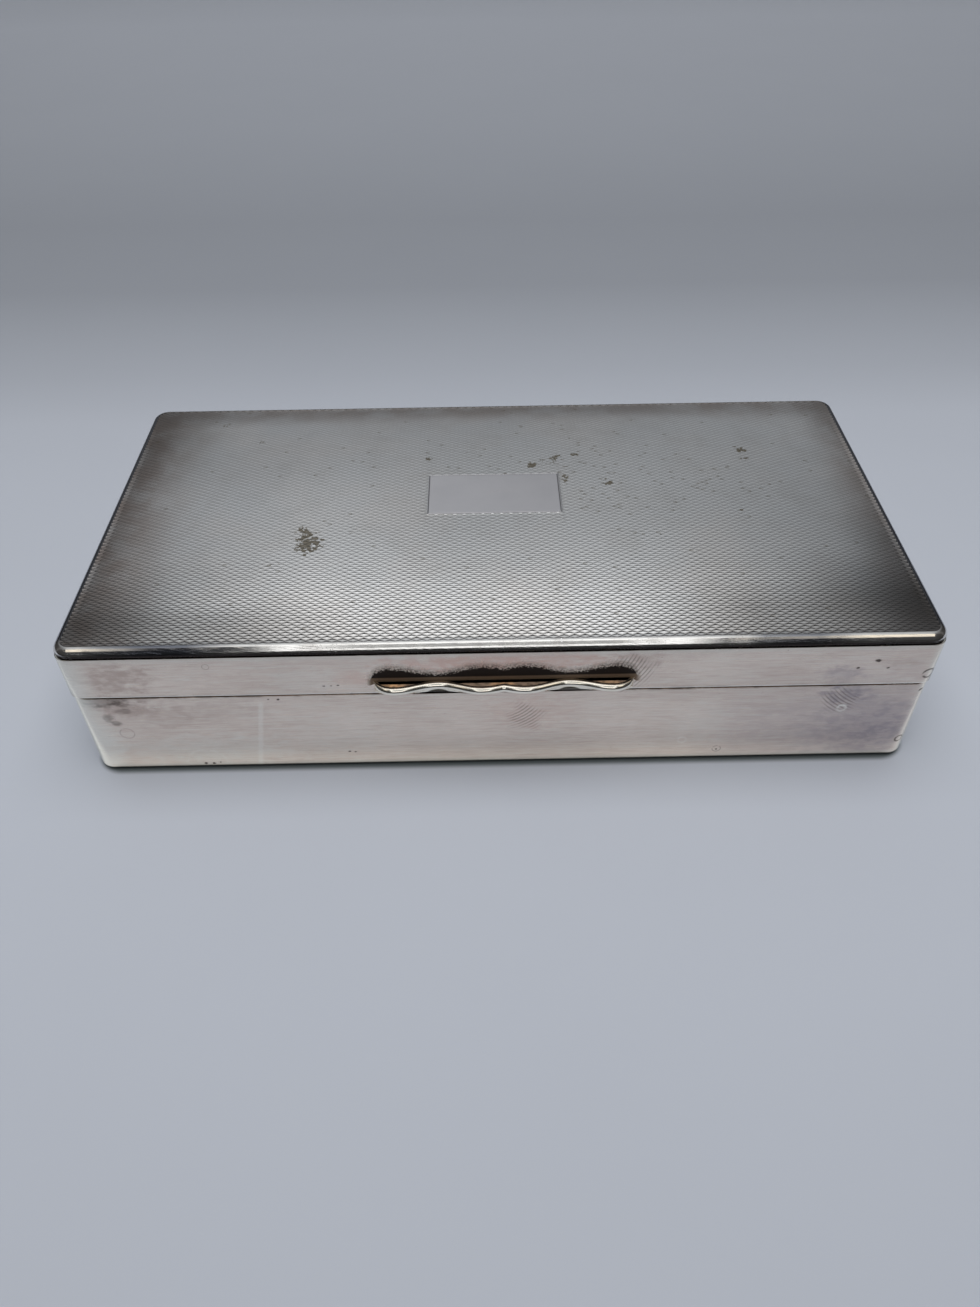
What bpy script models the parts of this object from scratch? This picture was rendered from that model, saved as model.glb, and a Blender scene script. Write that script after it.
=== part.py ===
"""A silver cigarette box: cedar-lined base, domed lid, serpentine thumbpiece and a knuckled back hinge.

Metres, +Z up. X runs left to right, the front faces -Y, and the origin is the centre of the underside.
Every piece is its own closed solid. The lid's pieces hang from one empty on the hinge's axis.
"""

import math

import bmesh
import bpy
from mathutils import Matrix, Vector

# Outline of the box, seen from above
PLATE_LENGTH = 0.1780
PLATE_DEPTH = 0.0932
PLATE_CORNER_RADIUS = 0.0038
PLATE_OVERHANG = 0.0001
WALL_CORNER_RADIUS = 0.0028

# Heights of the two bands of wall, and the clearance between neighbouring pieces
BASE_HEIGHT = 0.0226
LID_WALL_HEIGHT = 0.0104
CLEARANCE = 0.0003

# Silver sheet
WALL_THICKNESS = 0.0008
PLATE_THICKNESS = 0.0008
BOTTOM_THICKNESS = 0.0008

# Rolled foot of the base wall: the edge turns in and holds the bottom plate
FOOT_WIDTH = 0.0018
FOOT_RADIUS = 0.0009

# Lid plate: a plain rounded border, then a cushion that is flat in the middle and falls away at the edges
BORDER_RADIUS = 0.0024
DOME_RISE = 0.0033
DOME_END_POWER = 5.0
DOME_SIDE_POWER = 2.8
DOME_RING_SHARES = (0.03, 0.08, 0.16, 0.27, 0.42, 0.60, 0.80, 0.95)

# Cedar lining
FLOOR_THICKNESS = 0.0030
BOARD_THICKNESS = 0.0025
BOARD_DROP = 0.0012
DIVIDER_THICKNESS = 0.0025
DIVIDER_DROP = 0.0010

# Hinge: it stops short of the box's ends by a margin
HINGE_END_MARGIN = 0.0189
KNUCKLE_COUNT = 7
KNUCKLE_RADIUS = 0.0014
PIN_RADIUS = 0.0006
PIN_CLEARANCE = 0.0003
BEARER_WIDTH = 0.0022
BEARER_HEIGHT = 0.0035

# Thumbpiece: half widths and reaches along its wavy front edge, from the centre notch out to the tip.
# Below, the lobes stand back to this share of their reach past the waist.
THUMB_OFFSET = 0.0005
THUMB_HALF_WIDTH = 0.0264
THUMB_THICKNESS = 0.0018
THUMB_RISE = 0.0018
THUMB_LIP_WIDTH = 0.0007
THUMB_DISH_DEPTH = 0.0005
NOTCH_REACH = 0.0026
LOBE_PLACE = 0.0045
LOBE_REACH = 0.0033
WAIST_PLACE = 0.0132
WAIST_REACH = 0.0015
END_LOBE_PLACE = 0.0222
END_LOBE_REACH = 0.0031
UNDERCUT_SHARE = 0.48

# How finely curves are stepped
CORNER_STEPS = 7
LONG_SIDE_STEPS = 12
SHORT_SIDE_STEPS = 6
BORDER_STEPS = 5
FOOT_STEPS = 4
ROUND_STEPS = 24
BOARD_CORNER_STEPS = 4
WAVE_STEPS = 5
QUARTER_TURN = math.pi / 2

# Places that follow from the sizes above
PLATE_HALF_X = PLATE_LENGTH / 2
PLATE_HALF_Y = PLATE_DEPTH / 2
WALL_HALF_X = PLATE_HALF_X - PLATE_OVERHANG
WALL_HALF_Y = PLATE_HALF_Y - PLATE_OVERHANG
LINING_INSET = WALL_THICKNESS + CLEARANCE
LINING_HALF_X = WALL_HALF_X - LINING_INSET
LINING_HALF_Y = WALL_HALF_Y - LINING_INSET
LINING_CORNER_RADIUS = WALL_CORNER_RADIUS - LINING_INSET
FLOOR_BOTTOM = BOTTOM_THICKNESS + CLEARANCE
FLOOR_TOP = FLOOR_BOTTOM + FLOOR_THICKNESS
BOARD_BOTTOM = FLOOR_TOP + CLEARANCE
BOARD_TOP = BASE_HEIGHT - BOARD_DROP
BACK_BOARD_TOP = BASE_HEIGHT - BEARER_HEIGHT - CLEARANCE
DIVIDER_TOP = BACK_BOARD_TOP - DIVIDER_DROP
LID_BOTTOM = BASE_HEIGHT + CLEARANCE
LID_WALL_TOP = LID_BOTTOM + LID_WALL_HEIGHT
PLATE_BOTTOM = LID_WALL_TOP + CLEARANCE
BORDER_TOP = PLATE_BOTTOM + BORDER_RADIUS
HINGE_LENGTH = 2 * (WALL_HALF_X - HINGE_END_MARGIN)
HINGE_AXIS = Vector((0.0, WALL_HALF_Y, BASE_HEIGHT + CLEARANCE / 2))
GROOVE_RADIUS = KNUCKLE_RADIUS + CLEARANCE
BORE_RADIUS = PIN_RADIUS + PIN_CLEARANCE


def clear_scene():
    """Removes what the scene holds, so that only the box is left."""
    for existing in list(bpy.data.objects):
        bpy.data.objects.remove(existing, do_unlink=True)


def principled(name, colour, roughness, metallic):
    """A material made of one Principled BSDF."""
    material = bpy.data.materials.new(name)
    material.use_nodes = True
    shader = material.node_tree.nodes["Principled BSDF"]
    shader.inputs["Base Color"].default_value = (*colour, 1.0)
    shader.inputs["Roughness"].default_value = roughness
    shader.inputs["Metallic"].default_value = metallic
    return material


def turned_silver():
    """Engine-turned silver, greyed by tarnish between the cuts."""
    return principled("turned_silver", (0.50, 0.50, 0.50), 0.34, 1.0)


def plain_silver():
    """Silver wall worn to a soft satin with a warm cast."""
    return principled("plain_silver", (0.66, 0.62, 0.60), 0.30, 1.0)


def hinge_silver():
    """Polished tube and wire of the hinge."""
    return principled("hinge_silver", (0.72, 0.71, 0.69), 0.22, 1.0)


def thumb_silver():
    """Cast thumbpiece, yellowed by handling."""
    return principled("thumb_silver", (0.74, 0.70, 0.62), 0.20, 1.0)


def cedar():
    """Planed cedar, unvarnished."""
    return principled("cedar", (0.42, 0.22, 0.12), 0.62, 0.0)


def finish_mesh(bm, name, material, smooth_angle=math.radians(30)):
    """Turns a bmesh into an object with outward faces, its own material and smooth round faces."""
    bmesh.ops.recalc_face_normals(bm, faces=bm.faces)
    mesh = bpy.data.meshes.new(name)
    bm.to_mesh(mesh)
    bm.free()
    mesh.materials.append(material)
    mesh.shade_smooth()
    mesh.set_sharp_from_angle(angle=smooth_angle)
    piece = bpy.data.objects.new(name, mesh)
    bpy.context.scene.collection.objects.link(piece)
    return piece


def arc(centre, radius, start, end, steps):
    """Points on a flat arc, both ends included."""
    angles = [start + (end - start) * step / steps for step in range(steps + 1)]
    return [centre + radius * Vector((math.cos(angle), math.sin(angle))) for angle in angles]


def rounded_outline(half_x, half_y, radius, long_steps=1, short_steps=1):
    """A rectangle with round corners, anticlockwise from the front's right end, its runs in equal steps."""
    corners = []
    for index, (side_x, side_y) in enumerate(((1, -1), (1, 1), (-1, 1), (-1, -1))):
        centre = Vector((side_x * (half_x - radius), side_y * (half_y - radius)))
        start = (index - 1) * QUARTER_TURN
        corners.append(arc(centre, radius, start, start + QUARTER_TURN, CORNER_STEPS))
    points = []
    for index, corner in enumerate(corners):
        points += corner
        run_start = corner[-1]
        run_end = corners[(index + 1) % len(corners)][0]
        steps = long_steps if index % 2 else short_steps
        points += [run_start.lerp(run_end, step / steps) for step in range(1, steps)]
    return points


def wall_loop(inset, height):
    """The wall's outline, drawn in by an inset, at one height."""
    outline = rounded_outline(WALL_HALF_X - inset, WALL_HALF_Y - inset, WALL_CORNER_RADIUS - inset)
    return [Vector((point.x, point.y, height)) for point in outline]


def lofted(loops, closed_section):
    """Joins each loop to the next with quads. A closed section joins last to first, an open one is capped."""
    bm = bmesh.new()
    rings = [[bm.verts.new(point) for point in loop] for loop in loops]
    pairs = list(zip(rings, rings[1:]))
    if closed_section:
        pairs.append((rings[-1], rings[0]))
    else:
        bm.faces.new(rings[0])
        bm.faces.new(rings[-1])
    for lower, upper in pairs:
        for index in range(len(lower)):
            bm.faces.new((lower[index - 1], lower[index], upper[index], upper[index - 1]))
    return bm


def loft(name, loops, material, closed_section):
    """A piece made of loops joined one to the next."""
    return finish_mesh(lofted(loops, closed_section), name, material)


def prism(name, outline, bottom, top, material):
    """A flat outline drawn straight up from one height to another."""
    levels = [[Vector((point.x, point.y, height)) for point in outline] for height in (bottom, top)]
    return loft(name, levels, material, closed_section=False)


def block(name, low, high, material):
    """A plain box between two corners, its origin at its centre."""
    bm = bmesh.new()
    bmesh.ops.create_cube(bm, size=1.0)
    bmesh.ops.scale(bm, vec=high - low, verts=bm.verts)
    piece = finish_mesh(bm, name, material)
    piece.location = (low + high) / 2
    return piece


def tube(name, start, end, radius, bore, material):
    """A tube along X on the hinge's axis: its wall's section is spun a full turn."""
    bm = bmesh.new()
    section = [(start, bore), (end, bore), (end, radius), (start, radius)]
    verts = [bm.verts.new((x, 0.0, reach)) for x, reach in section]
    edges = [bm.edges.new((vert, verts[index - 1])) for index, vert in enumerate(verts)]
    bmesh.ops.spin(
        bm,
        geom=verts + edges,
        cent=(0.0, 0.0, 0.0),
        axis=(1.0, 0.0, 0.0),
        dvec=(0.0, 0.0, 0.0),
        angle=4 * QUARTER_TURN,
        steps=ROUND_STEPS,
        use_merge=True,
        use_duplicate=False,
    )
    return finish_mesh(bm, name, material)


def rod(name, length, radius, material):
    """A solid round bar along X, centred on its own origin."""
    bm = bmesh.new()
    bmesh.ops.create_cone(
        bm,
        cap_ends=True,
        segments=ROUND_STEPS,
        radius1=radius,
        radius2=radius,
        depth=length,
        matrix=Matrix.Rotation(QUARTER_TURN, 4, "Y"),
    )
    return finish_mesh(bm, name, material)


def cut_away(piece, cutter):
    """Takes the cutter's shape out of a piece."""
    cut = piece.modifiers.new("hinge_groove", "BOOLEAN")
    cut.operation = "DIFFERENCE"
    cut.solver = "EXACT"
    cut.object = cutter


def groove_cutter():
    """The round channel in which the hinge's knuckles lie, a little longer than they are."""
    cutter = rod("groove_cutter", HINGE_LENGTH + 2 * CLEARANCE, GROOVE_RADIUS, None)
    cutter.location = HINGE_AXIS
    cutter.hide_render = True
    cutter.display_type = "WIRE"
    return cutter


def base_band(silver, cutter):
    """The base's wall: one strip bent round the box, its foot rolled in, its back edge cut for the hinge."""
    foot = arc(Vector((FOOT_RADIUS, FOOT_RADIUS)), FOOT_RADIUS, -QUARTER_TURN, -2 * QUARTER_TURN, FOOT_STEPS)
    section = [(FOOT_WIDTH, 0.0)]
    section += [(point.x, point.y) for point in foot]
    section += [(0.0, BASE_HEIGHT), (WALL_THICKNESS, BASE_HEIGHT)]
    section += [(WALL_THICKNESS, BOTTOM_THICKNESS), (FOOT_WIDTH, BOTTOM_THICKNESS)]
    band = loft("base_band", [wall_loop(*level) for level in section], silver, closed_section=True)
    cut_away(band, cutter)
    return band


def base_plate(silver):
    """The bottom sheet, let in flush with the rolled foot."""
    inset = FOOT_WIDTH + CLEARANCE
    outline = rounded_outline(WALL_HALF_X - inset, WALL_HALF_Y - inset, WALL_CORNER_RADIUS - inset)
    return prism("base_plate", outline, 0.0, BOTTOM_THICKNESS, silver)


def cedar_floor(wood):
    """The lining's floor, which lies on the bottom sheet and the foot."""
    outline = rounded_outline(LINING_HALF_X, LINING_HALF_Y, LINING_CORNER_RADIUS)
    return prism("cedar_floor", outline, FLOOR_BOTTOM, FLOOR_TOP, wood)


def cedar_board(name, half_run, half_across, top, turn, wood):
    """One upright board of the lining, mitred at both ends and rounded to the wall's corner.

    It is drawn as the front board, then turned by quarter turns. The mitre stands back by half the clearance.
    """
    standback = CLEARANCE / 2
    inner_half = half_run - BOARD_THICKNESS - math.sqrt(2) * standback
    inner_y = BOARD_THICKNESS - half_across
    mitre_turn = QUARTER_TURN / 2 - math.asin(standback / LINING_CORNER_RADIUS)
    right_centre = Vector((half_run - LINING_CORNER_RADIUS, LINING_CORNER_RADIUS - half_across))
    left_centre = Vector((-right_centre.x, right_centre.y))
    down = -QUARTER_TURN
    outline = [Vector((inner_half, inner_y)), Vector((-inner_half, inner_y))]
    outline += arc(left_centre, LINING_CORNER_RADIUS, down - mitre_turn, down, BOARD_CORNER_STEPS)
    outline += arc(right_centre, LINING_CORNER_RADIUS, down, down + mitre_turn, BOARD_CORNER_STEPS)
    board = prism(name, outline, BOARD_BOTTOM, top, wood)
    board.rotation_euler.z = turn * QUARTER_TURN
    return board


def cedar_boards(wood):
    """The four upright boards. The back one is lower, because the hinge's bearer lies over it."""
    cedar_board("cedar_front_board", LINING_HALF_X, LINING_HALF_Y, BOARD_TOP, 0, wood)
    cedar_board("cedar_right_board", LINING_HALF_Y, LINING_HALF_X, BOARD_TOP, 1, wood)
    cedar_board("cedar_back_board", LINING_HALF_X, LINING_HALF_Y, BACK_BOARD_TOP, 2, wood)
    cedar_board("cedar_left_board", LINING_HALF_Y, LINING_HALF_X, BOARD_TOP, 3, wood)


def cedar_divider(wood):
    """The partition between the two rows of cigarettes, a close fit between the front and back boards."""
    half_y = LINING_HALF_Y - BOARD_THICKNESS - CLEARANCE
    low = Vector((-DIVIDER_THICKNESS / 2, -half_y, BOARD_BOTTOM))
    high = Vector((DIVIDER_THICKNESS / 2, half_y, DIVIDER_TOP))
    return block("cedar_divider", low, high, wood)


def hinge_bearer(name, bottom, silver, cutter):
    """A strip inside the back wall that thickens its edge and carries the knuckles in a groove."""
    back = LINING_HALF_Y
    low = Vector((-HINGE_LENGTH / 2, back - BEARER_WIDTH, bottom))
    high = Vector((HINGE_LENGTH / 2, back, bottom + BEARER_HEIGHT))
    bearer = block(name, low, high, silver)
    cut_away(bearer, cutter)
    return bearer


def knuckles(silver):
    """The row of tubes on the hinge's axis, by turns soldered to the base and to the lid. Gives the lid's."""
    pitch = (HINGE_LENGTH + CLEARANCE) / KNUCKLE_COUNT
    lid_row = []
    for index in range(KNUCKLE_COUNT):
        on_lid = index % 2 == 1
        owner = "lid" if on_lid else "base"
        start = index * pitch - HINGE_LENGTH / 2
        end = start + pitch - CLEARANCE
        name = f"{owner}_knuckle_{index // 2 + 1}"
        knuckle = tube(name, start, end, KNUCKLE_RADIUS, BORE_RADIUS, silver)
        knuckle.location = HINGE_AXIS
        if on_lid:
            lid_row.append(knuckle)
    return lid_row


def hinge_pin(silver):
    """The wire through all the knuckles."""
    pin = rod("hinge_pin", HINGE_LENGTH, PIN_RADIUS, silver)
    pin.location = HINGE_AXIS
    return pin


def lid_band(silver, cutter):
    """The lid's wall, its back edge cut for the hinge."""
    section = [(0.0, LID_BOTTOM), (0.0, LID_WALL_TOP)]
    section += [(WALL_THICKNESS, LID_WALL_TOP), (WALL_THICKNESS, LID_BOTTOM)]
    band = loft("lid_band", [wall_loop(*level) for level in section], silver, closed_section=True)
    cut_away(band, cutter)
    return band


def dome_height(x, y):
    """How far the cushion stands above its border at a place on the plate."""
    along = min(abs(x) / (PLATE_HALF_X - BORDER_RADIUS), 1.0)
    across = min(abs(y) / (PLATE_HALF_Y - BORDER_RADIUS), 1.0)
    return DOME_RISE * (1.0 - along**DOME_END_POWER) * (1.0 - across**DOME_SIDE_POWER)


def plate_loop(inset, radius, height, domed):
    """The plate's outline, drawn in by an inset: level on the border, or raised to the cushion."""
    outline = rounded_outline(
        PLATE_HALF_X - inset, PLATE_HALF_Y - inset, radius, LONG_SIDE_STEPS, SHORT_SIDE_STEPS
    )
    rises = [dome_height(point.x, point.y) if domed else 0.0 for point in outline]
    return [Vector((point.x, point.y, height + rise)) for point, rise in zip(outline, rises)]


def lid_plate(silver):
    """The domed top sheet with its solid quarter-round border, which overhangs the wall."""
    crown_radius = PLATE_CORNER_RADIUS - BORDER_RADIUS
    crown_half_y = PLATE_HALF_Y - BORDER_RADIUS
    crown_rings = [
        (BORDER_RADIUS + share * crown_half_y, crown_radius * (1.0 - share))
        for share in DOME_RING_SHARES
    ]
    sheet_bottom = BORDER_TOP - PLATE_THICKNESS
    quarter = arc(Vector((BORDER_RADIUS, 0.0)), BORDER_RADIUS, 2 * QUARTER_TURN, QUARTER_TURN, BORDER_STEPS)
    loops = [plate_loop(inset, radius, sheet_bottom, domed=True) for inset, radius in reversed(crown_rings)]
    loops.append(plate_loop(BORDER_RADIUS, crown_radius, sheet_bottom, domed=False))
    loops.append(plate_loop(BORDER_RADIUS, crown_radius, PLATE_BOTTOM, domed=False))
    loops += [
        plate_loop(point.x, PLATE_CORNER_RADIUS - point.x, PLATE_BOTTOM + point.y, domed=False)
        for point in quarter
    ]
    loops += [plate_loop(inset, radius, BORDER_TOP, domed=True) for inset, radius in crown_rings]
    return loft("lid_plate", loops, silver, closed_section=False)


def eased(start, end, share):
    """A value that leaves one level and meets the next without a corner."""
    return start + (end - start) * (1.0 - math.cos(share * 2 * QUARTER_TURN)) / 2


def thumb_half_edge():
    """The wavy front edge of the thumbpiece from its centre notch to its right tip, as (x, reach) points."""
    stations = [(LOBE_PLACE, LOBE_REACH), (WAIST_PLACE, WAIST_REACH), (END_LOBE_PLACE, END_LOBE_REACH)]
    steps = [step / WAVE_STEPS for step in range(WAVE_STEPS + 1)]
    edge = [
        (LOBE_PLACE * share, NOTCH_REACH + (LOBE_REACH - NOTCH_REACH) * math.sin(share * QUARTER_TURN))
        for share in steps
    ]
    for (start_x, start_reach), (end_x, end_reach) in zip(stations, stations[1:]):
        edge += [
            (start_x + (end_x - start_x) * share, eased(start_reach, end_reach, share))
            for share in steps[1:]
        ]
    tip = THUMB_HALF_WIDTH - END_LOBE_PLACE
    edge += [
        (
            END_LOBE_PLACE + tip * math.sin(share * QUARTER_TURN),
            END_LOBE_REACH * math.cos(share * QUARTER_TURN),
        )
        for share in steps[1:-1]
    ]
    edge.append((THUMB_HALF_WIDTH, 0.0))
    return edge


def undercut_reach(reach):
    """The reach of the thumbpiece's lower edge under a place on its upper one."""
    return min(reach, WAIST_REACH + (reach - WAIST_REACH) * UNDERCUT_SHARE)


def thumb_loop(edge, height):
    """The thumbpiece's outline at one height, its straight back a clearance off the wall."""
    back = -WALL_HALF_Y - CLEARANCE
    return [Vector((x + THUMB_OFFSET, back - reach, height)) for x, reach in edge]


def lid_thumbpiece(silver):
    """The serpentine ledge under which a thumb lifts the lid: a dished top within a raised lip."""
    half_edge = thumb_half_edge()
    edge = [(-x, reach) for x, reach in reversed(half_edge[1:])] + half_edge
    low_edge = [(x, undercut_reach(reach)) for x, reach in edge]
    bottom = LID_BOTTOM + THUMB_RISE
    loops = [thumb_loop(low_edge, bottom), thumb_loop(edge, bottom + THUMB_THICKNESS)]
    bm = lofted(loops, closed_section=False)
    bmesh.ops.recalc_face_normals(bm, faces=bm.faces)
    top = max(bm.faces, key=lambda face: face.calc_center_median().z)
    bmesh.ops.inset_region(bm, faces=[top], thickness=THUMB_LIP_WIDTH, depth=-THUMB_DISH_DEPTH)
    return finish_mesh(bm, "lid_thumbpiece", silver)


def hang_on_hinge(pieces):
    """Gives each moving piece an origin on the hinge's axis, under one empty there."""
    axis = bpy.data.objects.new("lid_hinge_axis", None)
    axis.location = HINGE_AXIS
    bpy.context.scene.collection.objects.link(axis)
    for piece in pieces:
        piece.data.transform(Matrix.Translation(piece.location - HINGE_AXIS))
        piece.parent = axis
        piece.location = (0.0, 0.0, 0.0)


def build_box():
    """Makes the whole box."""
    clear_scene()
    wall_silver = plain_silver()
    tube_silver = hinge_silver()
    wood = cedar()
    cutter = groove_cutter()
    base_band(wall_silver, cutter)
    base_plate(wall_silver)
    cedar_floor(wood)
    cedar_boards(wood)
    cedar_divider(wood)
    hinge_bearer("base_hinge_bearer", BASE_HEIGHT - BEARER_HEIGHT, tube_silver, cutter)
    lid_row = knuckles(tube_silver)
    hinge_pin(tube_silver)
    lid_bearer = hinge_bearer("lid_hinge_bearer", LID_BOTTOM, tube_silver, cutter)
    band = lid_band(wall_silver, cutter)
    plate = lid_plate(turned_silver())
    thumbpiece = lid_thumbpiece(thumb_silver())
    hang_on_hinge([band, plate, thumbpiece, lid_bearer, *lid_row])


build_box()
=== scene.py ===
# %% [markdown]
# # A silver cigarette box, dressed for the camera
# The box is already built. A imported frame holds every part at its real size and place, and it says which parts
# move with the lid. This lesson gives that frame its looks. Pieces that need finer edges are modelled again in
# the same place, the others keep their solids, and each one gets a finish made of nodes.

# %% The frame
import math

import bmesh
import bpy
from mathutils import Matrix, Vector


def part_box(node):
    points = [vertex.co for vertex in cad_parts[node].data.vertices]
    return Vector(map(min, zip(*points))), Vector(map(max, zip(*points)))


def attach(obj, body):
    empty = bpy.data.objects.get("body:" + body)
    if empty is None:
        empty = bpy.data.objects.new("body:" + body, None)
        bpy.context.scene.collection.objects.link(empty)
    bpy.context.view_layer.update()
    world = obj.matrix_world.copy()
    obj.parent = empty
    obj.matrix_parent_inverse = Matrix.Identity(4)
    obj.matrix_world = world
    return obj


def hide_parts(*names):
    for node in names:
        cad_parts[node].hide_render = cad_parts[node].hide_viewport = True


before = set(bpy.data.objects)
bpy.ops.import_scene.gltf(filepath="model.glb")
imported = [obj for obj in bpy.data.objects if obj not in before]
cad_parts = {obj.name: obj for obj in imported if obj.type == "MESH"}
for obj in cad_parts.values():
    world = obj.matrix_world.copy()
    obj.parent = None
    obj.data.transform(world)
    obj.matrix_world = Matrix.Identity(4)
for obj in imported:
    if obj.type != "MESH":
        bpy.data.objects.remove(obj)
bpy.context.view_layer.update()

MM = 0.001

# %% [markdown]
# ## Sizes
# The silver sheet, the walls and the plate stand where the frame has them, so their corners are read from it.
# What the frame can't say, such as the radius of a corner or the pitch of the engraving, is a named length
# here or in the step that needs it.

# %% Sizes read from the frame
plate_low, plate_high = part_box("lid_plate")
lid_low, lid_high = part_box("lid_band")
base_low, base_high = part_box("base_band")
thumb_low, thumb_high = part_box("lid_thumbpiece")
pin_low, pin_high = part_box("hinge_pin")

PLATE_RADIUS = 3.8 * MM
WALL_RADIUS = 2.8 * MM
BASE_RADIUS = 3.8 * MM
SHEET = 0.8 * MM
QUARTER_TURN = math.pi / 2
hinge_axis = (pin_low + pin_high) / 2


def add_object(name, data):
    """Puts an object with this data in the scene."""
    item = bpy.data.objects.new(name, data)
    bpy.context.scene.collection.objects.link(item)
    return item


def add_mesh(name, bm):
    """Makes an object of a bmesh."""
    mesh = bpy.data.meshes.new(name)
    bm.to_mesh(mesh)
    bm.free()
    return add_object(name, mesh)


print("plate:", plate_high - plate_low, "hinge axis:", hinge_axis)

# %% [markdown]
# ## The camera
# The photograph looks down on the front of the box from about the height of a raised phone. Its lines meet
# where these values put the camera: a wide lens, held level but for a small roll.

# %% The camera
CAMERA_PLACE = Vector((-2.97, -185.38, 166.65)) * MM
CAMERA_YAW = math.radians(0.31)
CAMERA_DOWN = math.radians(43.77)
CAMERA_ROLL = math.radians(-0.827)
LENS = 26.83
SENSOR = 36.0


def make_camera():
    """A camera that looks along +Y, turned by its yaw, tipped down and rolled."""
    data = bpy.data.cameras.new("camera")
    data.lens = LENS
    data.sensor_width = SENSOR
    data.clip_start = 10 * MM
    camera = add_object("camera", data)
    turn = Matrix.Rotation(-CAMERA_YAW, 4, "Z")
    tip = Matrix.Rotation(QUARTER_TURN - CAMERA_DOWN, 4, "X")
    roll = Matrix.Rotation(CAMERA_ROLL, 4, "Z")
    camera.matrix_world = Matrix.Translation(CAMERA_PLACE) @ turn @ tip @ roll
    bpy.context.scene.camera = camera
    return camera


camera = make_camera()
bpy.context.scene.view_settings.view_transform = "Standard"
print("camera at", camera.location)

# %% [markdown]
# ## Small helpers for nodes
# A finish is a tree of nodes, and most trees need the same few steps: add a node, do a sum, blend two colours,
# or turn a value into a soft mask between two limits. Each helper below does one of them. A helper finds the
# tree that it works in from the sockets it is given, so a sum of masks reads like a sum.

# %% Node helpers
def fill(node, inputs):
    """Fills or links a node's inputs by name or number."""
    for key, value in inputs.items():
        if isinstance(value, bpy.types.NodeSocket):
            node.id_data.links.new(value, node.inputs[key])
        else:
            node.inputs[key].default_value = value
    return node


def add(tree, kind, inputs=None, **settings):
    """Adds one shader node, sets its options and fills its inputs."""
    node = tree.nodes.new("ShaderNode" + kind)
    for name, value in settings.items():
        setattr(node, name, value)
    return fill(node, inputs or {})


def tree_of(values):
    """The tree that the first socket among some values belongs to."""
    return next(value.id_data for value in values if isinstance(value, bpy.types.NodeSocket))


def maths(operation, *values):
    """One sum."""
    return add(tree_of(values), "Math", dict(enumerate(values)), operation=operation).outputs[0]


def plus(first, second):
    return maths("ADD", first, second)


def minus(first, second):
    return maths("SUBTRACT", first, second)


def times(*values):
    """The product of two or more values."""
    product = values[0]
    for value in values[1:]:
        product = maths("MULTIPLY", product, value)
    return product


def times_plus(value, factor, addend):
    return maths("MULTIPLY_ADD", value, factor, addend)


def unsigned(value):
    return maths("ABSOLUTE", value)


def strongest(*masks):
    """The largest of several masks."""
    found = masks[0]
    for mask in masks[1:]:
        found = maths("MAXIMUM", found, mask)
    return found


def vectors(operation, *values):
    """One vector sum."""
    return add(tree_of(values), "VectorMath", dict(enumerate(values)), operation=operation).outputs[0]


def distance(vector):
    """The length of a vector."""
    return add(tree_of([vector]), "VectorMath", {0: vector}, operation="LENGTH").outputs["Value"]


def axes(vector):
    """The three parts of a vector."""
    return add(tree_of([vector]), "SeparateXYZ", {0: vector}).outputs


def joined(x=0.0, y=0.0, z=0.0):
    """A vector from its parts."""
    return add(tree_of([x, y, z]), "CombineXYZ", {0: x, 1: y, 2: z}).outputs[0]


print("sums ready")

# %% Masks and colours
def soft_step(value, low, high):
    """A mask that rises gently from 0 at low to 1 at high. With low above high it falls instead."""
    limits = {"Value": value, "From Min": low, "From Max": high}
    return add(tree_of([value]), "MapRange", limits, interpolation_type="SMOOTHSTEP").outputs[0]


def soft_window(value, rise, fall):
    """A mask that rises over one pair of limits and falls over another."""
    return times(soft_step(value, *rise), soft_step(value, *fall))


def spread(value, low, high):
    """Spreads a value from 0 to 1 over the range from low to high."""
    return add(tree_of([value]), "MapRange", {"Value": value, "To Min": low, "To Max": high}).outputs[0]


def blend(factor, first, second, mode="MIX"):
    """Blends two colours."""
    tree = tree_of([factor, first, second])
    node = add(tree, "Mix", {0: factor, 6: first, 7: second}, data_type="RGBA", blend_type=mode)
    return node.outputs[2]


def link(source, target):
    """Joins an output to a shader's input."""
    tree_of([source]).links.new(source, target)


def noise(place, scale, detail, **more):
    """A cloudy value between 0 and 1."""
    inputs = {"Vector": place, "Scale": scale, "Detail": detail, **more}
    return add(tree_of([place]), "TexNoise", inputs).outputs[0]


def turn_flat(place, angle):
    """A place turned about Z."""
    inputs = {"Vector": place, "Angle": angle}
    return add(tree_of([place]), "VectorRotate", inputs, rotation_type="Z_AXIS").outputs[0]


print("masks and colours ready")

# %% [markdown]
# ## Shared effects
# Tarnish, scratches, stains and drip rings turn up on several pieces. Each is a node group with named inputs,
# built once. All of them work in millimetres, because that is how a maker would give the size of a mark. A
# group starts from a place, and most of its other inputs are sizes. A short function places it in a finish.

# %% Node groups
def new_group(name, output, places, sizes):
    """An empty node group. Returns the tree, its inputs and the input of its one output."""
    tree = bpy.data.node_groups.new(name, "ShaderNodeTree")
    for label in places:
        tree.interface.new_socket(label, in_out="INPUT", socket_type="NodeSocketVector")
    for label, value in sizes.items():
        socket = tree.interface.new_socket(label, in_out="INPUT", socket_type="NodeSocketFloat")
        socket.default_value = value
    tree.interface.new_socket(output, in_out="OUTPUT", socket_type="NodeSocketFloat")
    return tree, tree.nodes.new("NodeGroupInput").outputs, tree.nodes.new("NodeGroupOutput").inputs[0]


def use(group, **inputs):
    """Places a node group in a tree, fills its inputs and returns its output."""
    node = tree_of(inputs.values()).nodes.new("ShaderNodeGroup")
    node.node_tree = group
    return fill(node, inputs).outputs[0]


def one_over(value):
    return maths("DIVIDE", 1.0, value)


print("group helpers ready")

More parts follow.
